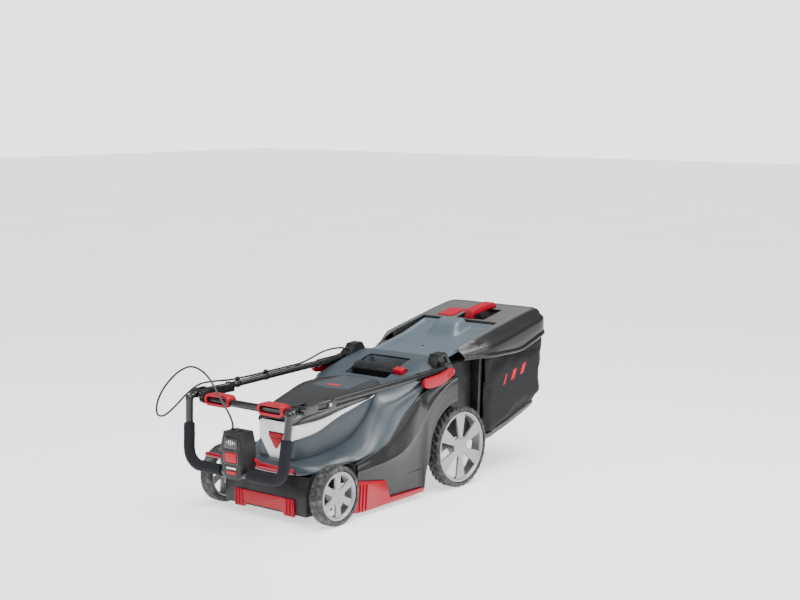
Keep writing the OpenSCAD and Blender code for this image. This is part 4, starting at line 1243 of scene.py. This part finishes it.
def flap_height(x, y):
    rim = smooth_lookup(y, FLAP_TOP) + 0.6
    inside = eased(133 - abs(x), 7, 17) * eased(y, 524, 542) * eased(782 - y, 4, 16)
    bump = eased(66 - abs(x), 4, 30) * eased(y, 688, 730) * eased(790 - y, 14, 34)
    field = rim - 6.5 * inside + (22 + 8 * inside) * bump
    edge = eased(abs(x), 126, 133)
    return field - 7 * edge * edge


flap_y = [520, 524, 530, 536, 543, 560, 585, 612, 640, 668, 684, 692, 700, 708, 716, 724, 732, 740,
          748, 754, 760, 765, 770, 775, 780, 785]
flap_x = [-133, -132, -129, -126, -122, -118, -114, -100, -80, -66, -58, -50, -42, -34, -20, 0]
flap_x += [-x for x in reversed(flap_x[:-1])]
flap = shell("flap_shell", [[(x, y, flap_height(x, y)) for x in flap_x] for y in flap_y], 2, 2,
             thickness=3.5)
smoothed(flap, 45)
done(flap, light_slate, "flap", ["rear_flap"])
for side, name in ((1, "right"), (-1, "left")):
    ear = extruded("flap_ear_" + name, [(524, 352), (523, 340), (530, 335), (537, 340), (545, 354)],
                   "x", side * 124, side * 132.6)
    rounded(ear, 1, 2)
    done(ear, light_slate, "flap")
    pin = block("flap_pin_" + name, (min(side * 131, side * 149), 527.2, 338.2),
                (max(side * 131, side * 149), 532.8, 343.8), bevel=1.6)
    done(pin, steel, "flap")
vent = block("flap_vent", (-4, 612, 368), (4, 620, flap_height(0, 616) + 0.8), bevel=0.7)
done(vent, gloss_black, "flap")

# %% [markdown]
# ## The grass box
# The box top is a stiff moulding with a lip that grips the cloth. Its rows run across, from the lip
# up over a flat flank and a rounded shoulder to the crown. The bay for the flap and the finger
# hole are cut afterwards.

# %% Box top
# y, half width, lip height, edge height, crown height
BOX_ROWS = [(598, 160, 350, 362, 380), (622, 169, 351, 367, 390), (646, 179, 352, 373, 399),
            (668, 188, 351, 377, 404), (694, 194, 351, 382, 410), (736, 196, 351, 389, 419),
            (826, 196, 352, 408, 438), (880, 196, 366, 421, 449), (930, 195, 381, 432, 458),
            (953, 191, 387, 436, 461), (966, 182, 390, 437, 460),
            (973, 168, 391, 436, 456), (975, 150, 392, 434, 450)]


def box_row(y, half, lip, edge, crown):
    """One row across the box top: lip, flank, shoulder and crown."""
    return mirrored([(half - 2, y, lip), (half + 3.5, y, lip + 0.5), (half + 4.5, y, lip + 4),
                     (half + 3.5, y, lip + 8), (half + 0.5, y, lip + 9.5), (half, y, edge - 6),
                     (half - 3, y, edge + 2), (half - 12, y, edge + 7),
                     (min(166, half - 16), y, crown - 8),
                     (min(146, half - 26), y, crown), (60, y, crown + 0.5), (0, y, crown + 0.5)])


rear_row = box_row(*BOX_ROWS[-1])
rows = [box_row(*row) for row in BOX_ROWS]
rear_low = 392.5
for share in (0.35, 0.7, 1.0):
    rows.append([(x * (1 - 0.01 * share), 976 + share,
                  z * (1 - share) + rear_low * share if z > rear_low else z)
                 for x, y, z in rear_row])
box_lid = shell("box_top_shell", rows, 2, 3, thickness=2.6)
cut(box_lid, block("bay_cut", (-139, 590, 330), (139, 793, 520)))
cut(box_lid, block("finger_cut", (-22, 801, 380), (82, 899, 520), bevel=5))
rounded(box_lid, 0.8, 2, 40)
done(box_lid, faded_top, "grass_box", ["box_top"])

# %% [markdown]
# The bay under the flap has a sloping floor and thin walls, and the finger well is a small tray
# beside the handle. They are drawn as side outlines and blocks.

# %% Bay and finger well
bay_floor = extruded("bay_floor", [(645, 361), (671, 368), (793, 406), (793, 409), (671, 371),
                                   (645, 364)], "x", -139, 139)
done(rounded(bay_floor, 0.6, 2), box_plastic, "grass_box")
for side, name in ((1, "right"), (-1, "left")):
    bay_wall = extruded("bay_wall_" + name, [(645, 361), (793, 406), (793, 430), (645, 399)], "x",
                        side * 138.6, side * 141)
    done(rounded(bay_wall, 0.6, 2), box_plastic, "grass_box")
rear_wall = block("bay_rear_wall", (-141, 792.5, 404), (141, 795, 430))
done(rounded(rear_wall, 0.6, 2), box_plastic, "grass_box")
tray = block("finger_tray", (-24, 799, 396), (84, 901, 447), bevel=2)
cut(tray, block("tray_hollow", (-21.5, 801.5, 399), (81.5, 898.5, 460), bevel=4))
for vertex in tray.data.vertices:
    y = (vertex.co.y - axle_y) / MM
    vertex.co.z = min(vertex.co.z, (430.5 + (y - 799) * 0.21) * MM)
done(rounded(tray, 0.8, 2), box_plastic, "grass_box")

# %% [markdown]
# The lifting handle is a broad, low bar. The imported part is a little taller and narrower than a
# hand would like, so its points are moved down and apart before its edges are rounded.

# %% Lifting handle
bar = cleaned("box_handle", "lifting_bar")
for vertex in bar.data.vertices:
    vertex.co.z = (437 + (vertex.co.z / MM - 437) * 0.84) * MM
    vertex.co.x = (30 + (vertex.co.x / MM - 30) * 1.35) * MM
rounded(bar, 4, 3)
done(bar, red_plastic, "grass_box", ["box_handle"])

# %% [markdown]
# ## The cloth bag
# The bag is coated cloth sewn to the box top, to the front frame and to a plastic base. It starts
# as a solid of the bag's outline, a little small, which is remeshed and let loose as slack cloth
# under a slight inner pressure, while its rims are pinned. The folds that form are kept. Then the
# front and the top are opened, and the skin gets its thickness.

# %% Bag
BAG_SIDE = [(670, 112), (718, 117), (795, 136), (923, 180), (963, 212), (956, 280), (965, 388),
            (826, 353), (670, 353)]
bag = extruded("bag_skin", BAG_SIDE, "x", -174, 174)
for vertex in bag.data.vertices:
    height = vertex.co.z / MM
    vertex.co.x *= (173 + (min(height, 352) - 116) / 236 * 15) / 174
edited(bag, bpy.ops.mesh.bevel, offset=9 * MM, segments=3, affect="EDGES")
face_outwards(bag)
modified(bag, "REMESH", mode="VOXEL", voxel_size=6.5 * MM)


def loosened(piece, pinned, pressure, slack, cap):
    """Lets a closed skin settle as slack cloth; cap is how far a point may move out, in metres."""
    start = [(vertex.co.copy(), vertex.normal.copy()) for vertex in piece.data.vertices]
    group = piece.vertex_groups.new(name="pinned")
    group.add([v.index for v in piece.data.vertices if pinned(v.co)], 1.0, "REPLACE")
    alone(piece)
    cloth = piece.modifiers.new("cloth", "CLOTH")
    cloth.settings.quality = 4
    cloth.settings.mass = 0.25
    cloth.settings.tension_stiffness = cloth.settings.compression_stiffness = 12
    cloth.settings.bending_stiffness = 0.9
    cloth.settings.use_pressure = True
    cloth.settings.uniform_pressure_force = pressure
    cloth.settings.shrink_min = -slack
    cloth.settings.vertex_group_mass = "pinned"
    cloth.settings.effector_weights.gravity = 0
    cloth.point_cache.frame_start, cloth.point_cache.frame_end = 1, 20
    for step in range(1, 21):
        bpy.context.scene.frame_set(step)
    bpy.ops.object.modifier_apply(modifier=cloth.name)
    for vertex, (place, outward) in zip(piece.data.vertices, start):
        move = vertex.co - place
        limit = cap if move.dot(outward) > 0 else cap * 0.4
        if move.length > limit:
            vertex.co = place + move * (limit / move.length)
    piece.vertex_groups.clear()
    bpy.context.scene.frame_set(1)


loosened(bag, lambda place: place.z > 0.344 or (place.y - axle_y) / MM < 676,
         pressure=3.2, slack=0.03, cap=0.009)
alone(bag)
bpy.ops.object.mode_set(mode="EDIT")
bpy.ops.mesh.select_all(action="DESELECT")
bpy.ops.object.mode_set(mode="OBJECT")
for face in bag.data.polygons:
    front = (face.center.y - axle_y) / MM < 673 and face.center.z > 0.125
    top = face.normal.z > 0.75 and face.center.z > 0.34
    face.select = front or top
bpy.ops.object.mode_set(mode="EDIT")
bpy.ops.mesh.delete(type="FACE")
bpy.ops.object.mode_set(mode="OBJECT")
modified(bag, "SUBSURF", levels=1, render_levels=1)
modified(bag, "SOLIDIFY", thickness=1.2 * MM, offset=-1)
bpy.ops.object.shade_smooth()
done(bag, bag_fabric, "grass_box", ["box_bag"])

# %% [markdown]
# A stiff grey strip under the bag keeps its belly in shape. It follows the lower line of the side.

# %% Belly strip
belly = extruded("belly_strip", [(716, 110), (795, 130), (870, 154), (926, 174), (930, 186),
                                 (870, 168), (795, 145), (716, 126)], "x", -175, 175)
rounded(belly, 2, 3)
done(belly, base_plastic, "grass_box")
